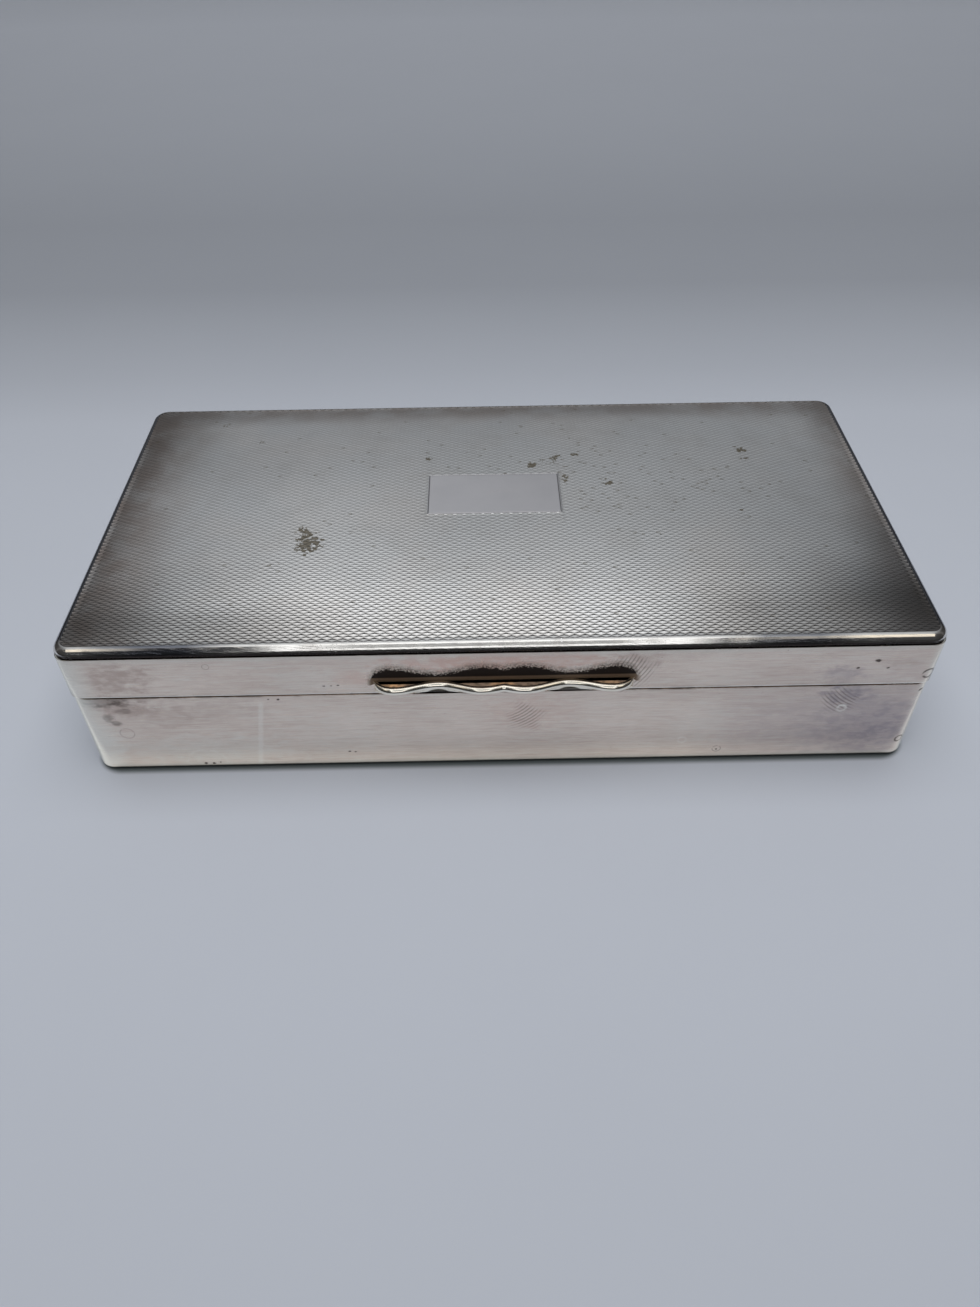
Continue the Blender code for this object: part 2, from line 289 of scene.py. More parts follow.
# %% Group: soft clouds of tarnish
def cloud_group():
    """Cloudy patches: noise that fades in between two levels."""
    sizes = {"Size": 10.0, "Low": 0.45, "High": 0.65}
    tree, given, result = new_group("soft_cloud", "Mask", ["Place"], sizes)
    clouds = noise(given["Place"], one_over(given["Size"]), 4.0, Roughness=0.55)
    link(soft_step(clouds, given["Low"], given["High"]), result)
    return tree


def cloud(place, size, low, high):
    return use(soft_cloud, Place=place, Size=size, Low=low, High=high)


soft_cloud = cloud_group()
print("made", soft_cloud.name)

# %% Group: hairline scratches
def scratch_group():
    """Short fine lines that all run one way: noise squeezed thin, of which only the crests are kept."""
    sizes = {"Turn": 0.0, "Length": 12.0, "Width": 0.08, "Crest": 0.68}
    tree, given, result = new_group("hair_scratches", "Mask", ["Place"], sizes)
    turned = turn_flat(given["Place"], given["Turn"])
    thin = vectors("MULTIPLY", turned, joined(one_over(given["Length"]), one_over(given["Width"])))
    link(soft_step(noise(thin, 1.0, 2.0), given["Crest"], plus(given["Crest"], 0.05)), result)
    return tree


def scratches(place, turn, length, width, crest):
    return use(hair_scratches, Place=place, Turn=turn, Length=length, Width=width, Crest=crest)


hair_scratches = scratch_group()
print("made", hair_scratches.name)

# %% Group: a stain with a ragged edge
def stain_group():
    """A blot round a centre. Noise pushes its edge in and out."""
    sizes = {"Ragged": 0.6, "Grain": 1.5}
    tree, given, result = new_group("ragged_stain", "Mask", ["Place", "Centre", "Reach"], sizes)
    offset = vectors("SUBTRACT", given["Place"], given["Centre"])
    away = distance(vectors("DIVIDE", offset, given["Reach"]))
    clouds = noise(given["Place"], one_over(given["Grain"]), 3.0)
    push = times(minus(clouds, 0.5), given["Ragged"])
    link(soft_step(times_plus(push, 2.0, away), 1.0, 0.45), result)
    return tree


def stain(place, centre, reach, ragged=0.6, grain=1.5):
    return use(ragged_stain, Place=place, Centre=centre, Reach=reach, Ragged=ragged, Grain=grain)


ragged_stain = stain_group()
print("made", ragged_stain.name)

# %% Group: the ring that a dried drop leaves
def ring_group():
    """A thin circle round a centre."""
    sizes = {"Radius": 1.0, "Width": 0.15}
    tree, given, result = new_group("drip_ring", "Mask", ["Place", "Centre"], sizes)
    away = distance(vectors("SUBTRACT", given["Place"], given["Centre"]))
    off_ring = unsigned(minus(away, given["Radius"]))
    link(soft_step(off_ring, given["Width"], 0.0), result)
    return tree


def ring(place, centre, radius, width):
    return use(drip_ring, Place=place, Centre=centre, Radius=radius, Width=width)


drip_ring = ring_group()
print("made", drip_ring.name)

# %% Group: the grain that a polishing buff leaves
def buff_group():
    """Fine lines that run level round the box."""
    tree, given, result = new_group("buffed_grain", "Value", ["Place"], {"Run": 8.0, "Width": 0.1})
    along = one_over(given["Run"])
    thin = vectors("MULTIPLY", given["Place"], joined(along, along, one_over(given["Width"])))
    link(noise(thin, 1.0, 4.0, Roughness=0.6), result)
    return tree


def buffing(place, run, width):
    return use(buffed_grain, Place=place, Run=run, Width=width)


buffed_grain = buff_group()
print("made", buffed_grain.name)

# %% Finish helpers
def start_finish(name, metallic, roughness):
    """A new material, its tree, its shader, and the place on the object in millimetres."""
    material = bpy.data.materials.new(name)
    material.use_nodes = True
    tree = material.node_tree
    shader = tree.nodes["Principled BSDF"]
    fill(shader, {"Metallic": metallic, "Roughness": roughness})
    place = vectors("MULTIPLY", add(tree, "TexCoord").outputs["Object"], (1.0 / MM, 1.0 / MM, 1.0 / MM))
    return material, tree, shader, place


def lay(tone, *coats):
    """Lays coats over a tone, one after another. A coat is a mask, its strength and its colour."""
    for mask, strength, colour in coats:
        tone = blend(times(mask, strength), tone, colour)
    return tone


def mesh_note(tree, name):
    """A value that the mesh carries at each point or on each face."""
    return add(tree, "Attribute", attribute_name=name).outputs["Fac"]


def raise_marks(shader, height, millimetres):
    """Turns a height from 0 to 1 into bumps of a real height."""
    bump = add(shader.id_data, "Bump", {"Height": height, "Distance": millimetres * MM, "Strength": 1.0})
    link(bump.outputs[0], shader.inputs["Normal"])


print("finish helpers ready")

# %% [markdown]
# ## Light
# Silver shows little but what is round it, so the light is half of its finish. The box stands in a light tent:
# a wide pale panel hangs over it, with a grey gap in the middle for the camera and a warm strip of light at
# each side. The back brightens upward to a strip of sky, and the room in front and at the sides is dim. The
# world's own nodes paint this by direction, as seen from the box: over is an angle from the back's horizon over
# the top to the front, and lean is how far a direction turns to either side. A soft lamp lights only what isn't
# shiny, which is the sheet underneath and the cedar.

# %% The light tent
BACK_STOPS = [
    (0.0, 0.13), (12.0, 0.14), (22.0, 0.18), (32.0, 0.34), (44.0, 0.38),
    (60.0, 0.35), (90.0, 0.26), (98.0, 0.07), (150.0, 0.05),
]
BACK_TINT = (0.97, 1.0, 1.04, 1.0)
SIDE_STOPS = [
    (0.0, 0.05), (52.0, 0.05), (66.0, 0.07), (80.0, 0.13), (90.0, 0.13), (98.0, 0.06), (150.0, 0.04),
]
SIDE_TINT = (1.0, 0.97, 0.96, 1.0)
SIDE_LEAN = (0.45, 0.80)
SKY_STOPS = [
    (50.0, 0.0), (55.0, 0.05), (63.0, 0.12), (68.0, 0.22), (74.0, 0.36), (79.0, 0.55), (85.0, 1.00),
    (90.0, 1.10),
]
SKY_LEAN = [(0.0, 1.0), (0.15, 1.0), (0.225, 0.64), (0.36, 0.42), (0.47, 0.14), (0.56, 0.0)]
SKY_END = (104.0, 96.0)
PANEL_OVER = ((86.0, 93.0), (160.0, 155.0))
PANEL_LEAN = (0.24, 0.20)
PANEL_LIGHT = 1.20
GAP_OVER = ((100.0, 104.0), (141.0, 137.0))
GAP_LEAN = (0.17, 0.13)
GAP_LIGHT = 0.40
STRIP_OVER = ((94.0, 100.0), (130.0, 118.0))
STRIP_START = (0.325, 0.345)
STRIP_END = (0.52, 0.47)
STRIP_SHIFT = 0.05
STRIP_TONE = (1.05, 0.95, 0.80, 1.0)
FRONT_OVER = (156.0, 163.0)
FRONT_LIGHT = 0.03
FAR_TONE = (0.275, 0.300, 0.345, 1.0)
LAMP_PLACE = Vector((0.0, -150.0, 900.0)) * MM
LAMP_SIDE = 900.0 * MM
LAMP_POWER = 5.6


def grey(value):
    return (value, value, value, 1.0)


def graded(value, stops):
    """A value that follows a list of (place, level) stops."""
    tree = tree_of([value])
    low, high = stops[0][0], stops[-1][0]
    share = add(tree, "MapRange", {"Value": value, "From Min": low, "From Max": high}).outputs[0]
    ramp = add(tree, "ValToRGB", {0: share})
    elements = ramp.color_ramp.elements
    while len(elements) < len(stops):
        elements.new(1.0)
    for element, (stop, level) in zip(elements, stops):
        element.position = (stop - low) / (high - low)
        element.color = grey(level)
    return ramp.outputs[0]


def make_tent():
    """Paints the world by the angle over the box, from the back (0) to the front (180), and by the lean."""
    world = bpy.data.worlds.new("light_tent")
    bpy.context.scene.world = world
    world.use_nodes = True
    tree = world.node_tree
    tree.nodes.clear()
    right, ahead, up = axes(add(tree, "TexCoord").outputs["Generated"])
    lean = unsigned(right)
    over = maths("DEGREES", maths("ARCTAN2", up, ahead))
    back_tone = blend(1.0, graded(over, BACK_STOPS), BACK_TINT, mode="MULTIPLY")
    side_tone = blend(1.0, graded(over, SIDE_STOPS), SIDE_TINT, mode="MULTIPLY")
    tone = blend(soft_step(lean, *SIDE_LEAN), back_tone, side_tone)
    sky = times(graded(over, SKY_STOPS), graded(lean, SKY_LEAN), soft_step(over, *SKY_END))
    tone = blend(1.0, tone, sky, mode="ADD")
    panel = times(soft_window(over, *PANEL_OVER), soft_step(lean, *PANEL_LEAN))
    tone = blend(panel, tone, grey(PANEL_LIGHT))
    gap = times(soft_window(over, *GAP_OVER), soft_step(lean, *GAP_LEAN))
    tone = blend(gap, tone, grey(GAP_LIGHT))
    start_lean = times_plus(maths("GREATER_THAN", right, 0.0), STRIP_SHIFT, lean)
    strips = times(soft_window(over, *STRIP_OVER), soft_step(start_lean, *STRIP_START))
    tone = blend(times(strips, soft_step(lean, *STRIP_END)), tone, STRIP_TONE)
    tone = blend(soft_step(over, *FRONT_OVER), tone, grey(FRONT_LIGHT))
    straight = add(tree, "LightPath").outputs["Is Camera Ray"]
    seen = blend(straight, tone, FAR_TONE)
    background = add(tree, "Background", {"Color": seen, "Strength": 1.0})
    link(background.outputs[0], add(tree, "OutputWorld").inputs["Surface"])
    return world


def make_lamp():
    """A wide soft lamp overhead that shiny metal doesn't mirror."""
    data = bpy.data.lights.new("soft_lamp", "AREA")
    data.size = LAMP_SIDE
    data.energy = LAMP_POWER
    lamp = add_object("soft_lamp", data)
    lamp.location = LAMP_PLACE
    lamp.visible_glossy = False
    return lamp


tent = make_tent()
lamp = make_lamp()
print("made", tent.name, "and", lamp.name)

# %% [markdown]
# ## The sheet underneath
# A plain pale sheet fills the picture. Its tone holds painted shade: it is a little darker behind the box, where
# it turns up and away from the light. A few stops in its nodes do this, so the sheet itself stays flat. Round
# the box's foot a painted contact shadow makes it nearly black. In the silver's reflections it carries painted
# light and
# shade: it is brightest just in front of the box, dim behind it, and it ends a hand's width in front of it,
# where a real table would end.

# %% The floor
FLOOR_HALF = 1.5
FLOOR_STOPS = [
    (-165.0, 0.90), (-55.0, 1.0), (65.0, 0.95), (101.0, 0.92), (134.0, 0.79),
    (206.0, 0.60), (278.0, 0.59), (420.0, 0.74), (690.0, 0.97),
]
PAPER_TONES = ((0.508, 0.542, 0.612, 1.0), (0.488, 0.521, 0.590, 1.0))
SPECK_TONE = (0.25, 0.25, 0.27, 1.0)
CLOSE_REACH = ((-53.0, -46.5), (-44.0, -46.0))
CLOSE_REFLECTED_LIGHT = (0.86, 0.90, 0.95, 1.0)
BEHIND_REACH = (100.0, 170.0)
BEHIND_REFLECTED_SHADE = (0.12, 0.12, 0.125, 1.0)
EDGE_REACH = (-150.0, -260.0)
EDGE_LIGHT = 0.02
CONTACT_SHADOW_REACH = (1.6, -0.1)
CONTACT_SHADOW_ROUND = 5.5
CONTACT_SHADOW_SHARE = 0.85
CONTACT_SHADOW_TONE = (0.035, 0.05, 0.045, 1.0)


def floor_finish():
    """Pale paper whose tone follows the distance from the camera."""
    material, tree, shader, place = start_finish("pale_sheet", 0.0, 0.75)
    depth = axes(place)[1]
    paper = blend(times(cloud(place, 60.0, 0.3, 0.7), 0.25), *PAPER_TONES)
    tone = blend(1.0, paper, graded(depth, FLOOR_STOPS), mode="MULTIPLY")
    mirrored = add(tree, "LightPath").outputs["Is Glossy Ray"]
    core = (base_high.x / MM - CONTACT_SHADOW_ROUND, base_high.y / MM - CONTACT_SHADOW_ROUND, 0.0)
    outward = vectors("MULTIPLY", vectors("ABSOLUTE", place), (1.0, 1.0, 0.0))
    outward = vectors("MAXIMUM", vectors("SUBTRACT", outward, core), (0.0, 0.0, 0.0))
    off_box = minus(distance(outward), CONTACT_SHADOW_ROUND)
    tone = lay(
        tone,
        (cloud(place, 0.9, 0.74, 0.80), 0.25, SPECK_TONE),
        # Painted light and shade seen only in the silver: paler just in front of the box, dark behind it and
        # past the table's end.
        (soft_window(depth, *CLOSE_REACH), mirrored, CLOSE_REFLECTED_LIGHT),
        (soft_step(depth, *BEHIND_REACH), mirrored, BEHIND_REFLECTED_SHADE),
        # Painted contact shadow: nearly black right round the box's foot.
        (soft_step(off_box, *CONTACT_SHADOW_REACH), CONTACT_SHADOW_SHARE, CONTACT_SHADOW_TONE),
        (soft_step(depth, *EDGE_REACH), mirrored, grey(EDGE_LIGHT)),
    )
    fill(shader, {"Base Color": tone, "Specular IOR Level": 0.2})
    return material


def make_floor():
    """One large flat sheet."""
    bm = bmesh.new()
    bmesh.ops.create_grid(bm, x_segments=1, y_segments=1, size=FLOOR_HALF)
    floor = add_mesh("floor", bm)
    floor.data.materials.append(floor_finish())
    return floor


floor = make_floor()
print("made", floor.name, 2 * FLOOR_HALF, "m wide")

# %% [markdown]
# ## Finishes
# Old silver isn't one colour. It is bright where hands and cloths reach it, brown or grey where they don't,
# and stained where something dried on it. Each finish below starts from a plain metal and lays such marks over
# it with masks. Strengths and places are millimetres on the box.

# %% Colours of silver
SILVER_BRIGHT = (0.87, 0.86, 0.84, 1.0)
TARNISH_BROWN = (0.20, 0.145, 0.115, 1.0)
PAINTED_SHADE_BLACK = (0.035, 0.028, 0.026, 1.0)
print("bright silver:", SILVER_BRIGHT[:3])

# %% [markdown]
# ### Engine-turned silver
# The lid's top is engraved by a machine in rows of small pointed cells. The cells themselves are in the mesh.
# This finish adds what the years did: dirt in the cuts, brown edges and stains that sit in groups of cells. It
# also holds painted shade on the cells' back-facing facets and in a few darker zones.

# %% Engine-turned silver
STAINS = [
    (-41.0, -16.4, 3.1, 5.2, 1.00), (-42.5, -12.5, 1.8, 2.4, 0.80), (-32.0, -12.3, 1.4, 1.3, 0.45),
    (-68.2, 36.1, 1.8, 1.3, 0.60), (-57.2, 25.9, 1.6, 1.5, 0.50), (-15.7, 15.7, 1.3, 0.9, 0.70),
    (2.0, 8.1, 0.9, 1.2, 0.80), (8.7, 12.1, 1.4, 1.3, 0.95), (14.4, 15.4, 2.0, 1.5, 1.0),
    (19.1, 16.4, 1.2, 0.9, 0.80), (16.1, 6.0, 1.2, 2.2, 0.85), (26.1, 4.0, 1.6, 1.6, 1.0),
    (59.3, 18.2, 1.8, 1.6, 1.0), (59.3, 13.9, 1.6, 1.1, 0.60), (54.1, -7.3, 0.9, 0.9, 0.60),
    (12.6, 13.4, 5.5, 3.4, 0.40), (-47.5, -23.2, 4.0, 1.2, 0.35),
]
SPECK_FIELDS = [(-35.0, 14.3, 8.0, 6.0), (34.0, 4.0, 34.0, 24.0), (-5.0, 14.8, 12.0, 5.0)]
PAINTED_SHADE_ZONES = [
    (-50.0, -5.0, -44.0, -28.0, 0.20), (-5.0, -52.0, -8.0, 16.0, 0.16), (20.0, 58.0, -28.0, -39.0, 0.42),
    (-22.0, -60.0, -33.0, -40.0, 0.34), (56.0, 86.0, -18.0, -36.0, 0.62), (-60.0, -82.0, -24.0, -38.0, 0.38),
    (-77.0, -87.0, -60.0, -50.0, 0.22), (-60.0, -84.0, 6.0, 32.0, 0.38), (72.0, 86.0, 4.0, -22.0, 0.34),
    (74.0, 88.0, 18.0, 38.0, 0.30), (-99.0, -95.0, 34.0, 43.0, 0.22),
]
CORN_LENGTH = 2.084
ROW_PITCH = 0.611
DOME_TOP = plate_high.z / MM
REAR_SHADE_SHARES = [(-44.0, 1.0), (-32.0, 0.90), (-20.0, 0.55), (0.0, 0.42), (44.0, 0.42)]
CUT_DIRT = [(-44.0, 0.80), (-34.0, 0.65), (-20.0, 0.36), (0.0, 0.30), (44.0, 0.30)]
CUT_TONE = (0.13, 0.12, 0.115, 1.0)
REAR_SHADE_TONE = (0.10, 0.095, 0.09, 1.0)
TURNED_TONES = ((0.86, 0.875, 0.885, 1.0), (0.90, 0.89, 0.88, 1.0))
DULL_TONE = (0.56, 0.54, 0.51, 1.0)
OLIVE_STAIN = (0.165, 0.135, 0.08, 1.0)
EDGE_BROWN = (0.44, 0.355, 0.315, 1.0)
BROWN_LEFT = (-66.0, -86.0)
BROWN_RIGHT = (76.0, 88.0)
BROWN_BACK = (31.0, 44.0)
GRAIN_HEIGHT = 0.005


def stained(place, chance):
    """Groups of soiled cells: broken blots, as one mask."""
    blots = []
    for stain_x, stain_y, reach_x, reach_y, strength in STAINS:
        blot = stain(place, (stain_x, stain_y, DOME_TOP), (reach_x, reach_y, 9.0), 1.1, 1.2)
        blots.append(times(blot, strength))
    crumbs = cloud(place, 0.7, 0.30, 0.62)
    broken = times_plus(chance, 0.35, times(crumbs, 0.45))
    return soft_step(times_plus(strongest(*blots), 0.80, broken), 0.80, 1.18)


def turned_silver():
    """Engraved silver with dirt in its cuts, and painted shade on back-facing facets and in some zones."""
    material, tree, shader, place = start_finish("turned_silver", 1.0, 0.24)
    x, y = axes(place)[:2]
    column = maths("FLOOR", maths("DIVIDE", x, CORN_LENGTH / 2))
    row = maths("FLOOR", maths("DIVIDE", y, ROW_PITCH))
    chance = add(tree, "TexWhiteNoise", {"Vector": joined(column, row)}, noise_dimensions="2D").outputs[0]
    tone = blend(cloud(place, 26.0, 0.35, 0.70), *TURNED_TONES)
    left = times(soft_step(x, *BROWN_LEFT), 0.80)
    right = times(soft_step(x, *BROWN_RIGHT), 0.60)
    back = times(soft_step(y, *BROWN_BACK), 0.62)
    edge = times(strongest(left, right, back), spread(cloud(place, 9.0, 0.30, 0.62), 0.45, 1.0))
    tone = lay(tone, (cloud(place, 7.0, 0.42, 0.78), 0.20, DULL_TONE), (edge, 1.0, EDGE_BROWN))
    # Painted shade: a few zones of the top are darkened.
    for from_x, full_x, from_y, full_y, share in PAINTED_SHADE_ZONES:
        zone = times(soft_step(x, from_x, full_x), soft_step(y, from_y, full_y))
        tone = blend(1.0, tone, spread(zone, 1.0, 1.0 - share), mode="MULTIPLY")
    fields = []
    for field_x, field_y, reach_x, reach_y in SPECK_FIELDS:
        fields.append(stain(place, (field_x, field_y, DOME_TOP), (reach_x, reach_y, 40.0), grain=6.0))
    specks = maths("LESS_THAN", chance, times_plus(strongest(*fields), 0.035, 0.004))
    deep = maths("POWER", mesh_note(tree, "cut"), 2.0)
    soiled = strongest(stained(place, chance), times(specks, times_plus(deep, 0.55, 0.10)))
    tone = lay(
        tone,
        (soiled, 0.85, OLIVE_STAIN),
        (deep, graded(y, CUT_DIRT), CUT_TONE),
        # Painted shade: the facets that look back are darkened, most near the front.
        (mesh_note(tree, "rear"), graded(y, REAR_SHADE_SHARES), REAR_SHADE_TONE),
    )
    fill(shader, {"Base Color": tone, "Roughness": plus(0.17, times(strongest(soiled, edge), 0.20))})
    raise_marks(shader, noise(place, 9.0, 3.0), GRAIN_HEIGHT)
    return material


turned = turned_silver()
print("made", turned.name, "with", len(STAINS), "stains")

# %% Cartouche silver
CARTOUCHE_X, CARTOUCHE_Y = -0.51, 0.475
CARTOUCHE_HALF_X, CARTOUCHE_HALF_Y = 15.10, 7.82
CARTOUCHE_TONES = ((0.985, 0.965, 0.99, 1.0), (0.93, 0.915, 0.94, 1.0))
LINE_TONE = (0.12, 0.12, 0.12, 1.0)
LINE_REACH = ((0.40, 0.30), (0.08, 0.18))
LINE_DEPTH = 0.05
SHADED = (-12.0, 14.0)
LONG_SCRATCH = (1.6, 1.2)
SCRATCH_REACH = (5.5, 0.26, 9.0)
SCRATCH_TURN = -0.17


def cartouche_silver():
    """The blank shield in the engraving: smooth, paler, framed by a cut line, with one long scratch."""
    material, tree, shader, place = start_finish("cartouche_silver", 1.0, 0.30)
    x, y = axes(place)[:2]
    tone = blend(cloud(place, 9.0, 0.30, 0.75), *CARTOUCHE_TONES)
    # Painted shade: the shield darkens a little toward the right.
    tone = blend(1.0, tone, spread(soft_step(x, *SHADED), 1.0, 0.90), mode="MULTIPLY")
    near_x = minus(CARTOUCHE_HALF_X, unsigned(minus(x, CARTOUCHE_X)))
    near_y = minus(CARTOUCHE_HALF_Y, unsigned(minus(y, CARTOUCHE_Y)))
    line = soft_window(maths("MINIMUM", near_x, near_y), *LINE_REACH)
    tone = lay(tone, (times(line, maths("LESS_THAN", near_x, near_y)), 0.75, LINE_TONE))
    scratch = stain(turn_flat(place, SCRATCH_TURN), (*LONG_SCRATCH, DOME_TOP), SCRATCH_REACH, 0.2)
    fill(shader, {"Base Color": tone, "Roughness": times_plus(scratch, 0.35, 0.28)})
    raise_marks(shader, minus(times(scratches(place, 0.4, 9.0, 0.09, 0.62), 0.06), line), LINE_DEPTH)
    return material


cartouche = cartouche_silver()
print("made", cartouche.name)

# %% Border silver
FOOT_TUCK = 0.4 * MM
BORDER_GREY = (0.72, 0.70, 0.68, 1.0)
BORDER_FRONT = (-40.0, -44.0)
BORDER_END = (86.6, 87.6)
END_START = (-44.6, -42.0)
UNDERSIDE_SHADE_HEIGHT = (0.85, 0.60)
PIT_DEPTH = 0.014
NICK_PLACE = (11.9, -45.2)
NICK_REACH = ((0.16, 0.08), (0.7, 0.5))
NICK_TONE = (0.95, 0.95, 0.95, 1.0)
DARK_REFLECTION_TONE = (0.11, 0.125, 0.17, 1.0)
DARK_REFLECTION_ALONG = [
    (-83.0, 0.0), (-79.0, 0.55), (-72.0, 0.85), (-62.0, 0.85), (-56.0, 0.35), (-52.0, 0.0),
    (48.0, 0.0), (52.0, 0.65), (63.0, 0.75), (68.0, 0.35), (72.0, 0.0),
]


def border_silver():
    """The plate's polished edge: bright, finely scratched and pitted, with painted dark reflections in places
    and painted black shade below it.
    """
    material, tree, shader, place = start_finish("border_silver", 1.0, 0.12)
    x, y, z = axes(place)
    foot = (plate_low.z + FOOT_TUCK) / MM
    # Painted dark reflection: blue-black zones along the border's front and on its ends behind the front
    # corners.
    dark_reflection = times(graded(x, DARK_REFLECTION_ALONG), soft_step(y, *BORDER_FRONT))
    ends = times(soft_step(unsigned(x), *BORDER_END), soft_step(y, *END_START), 0.85)
    off_nick = (unsigned(minus(x, NICK_PLACE[0])), unsigned(minus(y, NICK_PLACE[1])))
    nick = times(*(soft_step(off, *reach) for off, reach in zip(off_nick, NICK_REACH)))
    tone = lay(
        blend(cloud(place, 5.0, 0.45, 0.75), SILVER_BRIGHT, BORDER_GREY),
        (strongest(dark_reflection, ends), 1.0, DARK_REFLECTION_TONE),
        # Painted shade: the border's underside goes black towards its foot.
        (soft_step(minus(z, foot), *UNDERSIDE_SHADE_HEIGHT), 1.0, PAINTED_SHADE_BLACK),
        (nick, 1.0, NICK_TONE),
    )
    where = cloud(place, 14.0, 0.48, 0.62)
    pits = times(cloud(place, 0.35, 0.62, 0.70), where)
    fine = scratches(joined(plus(x, y), plus(z, y)), 0.2, 7.0, 0.10, 0.60)
    rough = plus(0.07, times(where, 0.08))
    fill(shader, {"Base Color": tone, "Metallic": minus(1.0, nick), "Roughness": rough})
    raise_marks(shader, minus(times(fine, 0.15), pits), PIT_DEPTH)
    return material


border = border_silver()
print("made", border.name)

# %% [markdown]
# ### Wall silver
# The walls were buffed level round the box, so their shine is drawn out into fine lines. They have a warm cast,
# paler and greener at the corners where fingers polish them, with brown and violet patches, drip rings and the
# ridges of a fingertip here and there. Painted light and shade are laid on too: highlights along the foot and
# the lid's lower rim, black shade at the very foot and under the ledge, and above the thumbpiece the ledge's
# dark reflection, in the same waves as the ledge, so the ledge's outline is worked out first.

# %% The outline of the thumbpiece
THUMB_SHIFT = 0.5
NOTCH_REACH = 2.6
LOBE_PLACE, LOBE_REACH = 4.5, 3.3
WAIST_PLACE, WAIST_REACH = 13.2, 1.5
END_PLACE, END_REACH = 22.2, 3.1
TIP_PLACE = 26.4


def thumb_reach(x):
    """How far the thumbpiece's wavy edge stands out at x, in millimetres."""
    place = abs(x)
    if place >= END_PLACE:
        share = min((place - END_PLACE) / (TIP_PLACE - END_PLACE), 1.0)
        return END_REACH * math.sqrt(1.0 - share * share)
    if place <= LOBE_PLACE:
        return NOTCH_REACH + (LOBE_REACH - NOTCH_REACH) * math.sin(QUARTER_TURN * place / LOBE_PLACE)
    stations = [(LOBE_PLACE, LOBE_REACH), (WAIST_PLACE, WAIST_REACH), (END_PLACE, END_REACH)]
    for (start, start_reach), (end, end_reach) in zip(stations, stations[1:]):
        if place <= end:
            share = (place - start) / (end - start)
            return start_reach + (end_reach - start_reach) * (1.0 - math.cos(2 * QUARTER_TURN * share)) / 2


print("reach at the notch, a lobe, a waist and an end:", [thumb_reach(x) for x in (0, 4.5, 13.2, 22.2)])

# %% Marks on the front wall
WALL_WARM = (0.88, 0.765, 0.675, 1.0)
WALL_BROWN = (0.58, 0.475, 0.415, 1.0)
WALL_ROSE = (0.76, 0.54, 0.455, 1.0)
WALL_VIOLET = (0.40, 0.355, 0.375, 1.0)
WALL_PALE = (0.88, 0.865, 0.79, 1.0)
WALL_WHITE = (0.98, 0.96, 0.88, 1.0)
WALL_DARK = (0.10, 0.08, 0.07, 1.0)
WALL_SIDE = (0.66, 0.68, 0.64, 1.0)
REFLECTION_AND_SHADE_BLACK = (0.022, 0.016, 0.014, 1.0)
REFLECTION_LOW_BROWN = (0.20, 0.14, 0.095, 1.0)
LEVEL_STRETCH = 0.55
FOOT_SHADE_LINE = 0.5
WALL_FACE = lid_high.y / MM
RIM_HIGHLIGHT_TONE = (1.0, 0.97, 0.90, 1.0)
VIOLET_ALONG = [
    (40.0, 0.0), (50.0, 0.28), (60.0, 0.45), (70.0, 0.75), (80.0, 1.0), (84.5, 0.95), (87.0, 0.45), (89.0, 0.3),
]
VIOLET_UP = [
    (0.0, 0.85), (8.0, 1.0), (12.0, 0.95), (16.0, 0.85), (20.0, 0.45), (22.8, 0.40), (23.4, 0.28), (33.0, 0.06),
]
WALL_PATCHES = [
    (72.0, 20.0, 7.0, 3.6, WALL_VIOLET, 0.90), (69.5, 26.0, 6.0, 3.4, WALL_VIOLET, 0.55),
    (80.0, 29.0, 6.0, 2.5, WALL_BROWN, 0.45), (-78.0, 28.0, 10.0, 6.0, WALL_BROWN, 0.95),
    (-79.0, 20.0, 9.0, 4.0, WALL_BROWN, 0.95), (-70.0, 17.0, 9.0, 5.0, WALL_BROWN, 0.45),
    (-60.0, 18.5, 14.0, 4.0, WALL_BROWN, 0.35), (-50.0, 27.0, 18.0, 4.0, WALL_BROWN, 0.20),
    (0.5, 31.5, 31.0, 4.2, WALL_ROSE, 0.85), (27.0, 31.0, 7.0, 3.5, WALL_BROWN, 0.60),
    (6.0, 17.0, 13.0, 7.0, WALL_ROSE, 0.35), (-62.0, 6.0, 24.0, 7.0, WALL_PALE, 0.50),
    (-84.0, 8.0, 5.0, 10.0, WALL_PALE, 0.60), (-35.0, 10.0, 16.0, 10.0, WALL_PALE, 0.25),
    (-40.0, 27.0, 9.0, 5.0, WALL_PALE, 0.35), (44.0, 26.0, 12.0, 3.5, WALL_PALE, 0.20),
    (42.0, 12.0, 9.0, 9.0, WALL_PALE, 0.25), (-82.2, 16.8, 1.8, 1.7, WALL_DARK, 0.50),
    (-29.5, 27.5, 5.0, 3.0, WALL_ROSE, 0.50), (-82.0, 21.6, 8.0, 2.2, WALL_DARK, 0.80),
    (-80.8, 15.2, 1.5, 1.2, WALL_DARK, 0.55), (-78.6, 18.8, 2.2, 1.1, WALL_DARK, 0.35),
]
DRIP_RINGS = [
    (87.0, 25.7, 1.15, 0.40, 1.0), (86.5, 5.6, 0.85, 0.34, 1.0),
    (47.0, 3.6, 0.9, 0.16, 0.7), (-58.9, 31.3, 0.7, 0.12, 0.5), (-79.5, 12.0, 1.5, 0.2, 0.35),
]
PALE_RINGS = [(-64.4, 2.0, 4.3, 0.40, 0.45), (71.5, 15.9, 0.85, 0.50, 0.85), (39.1, 6.7, 0.9, 0.35, 0.6)]
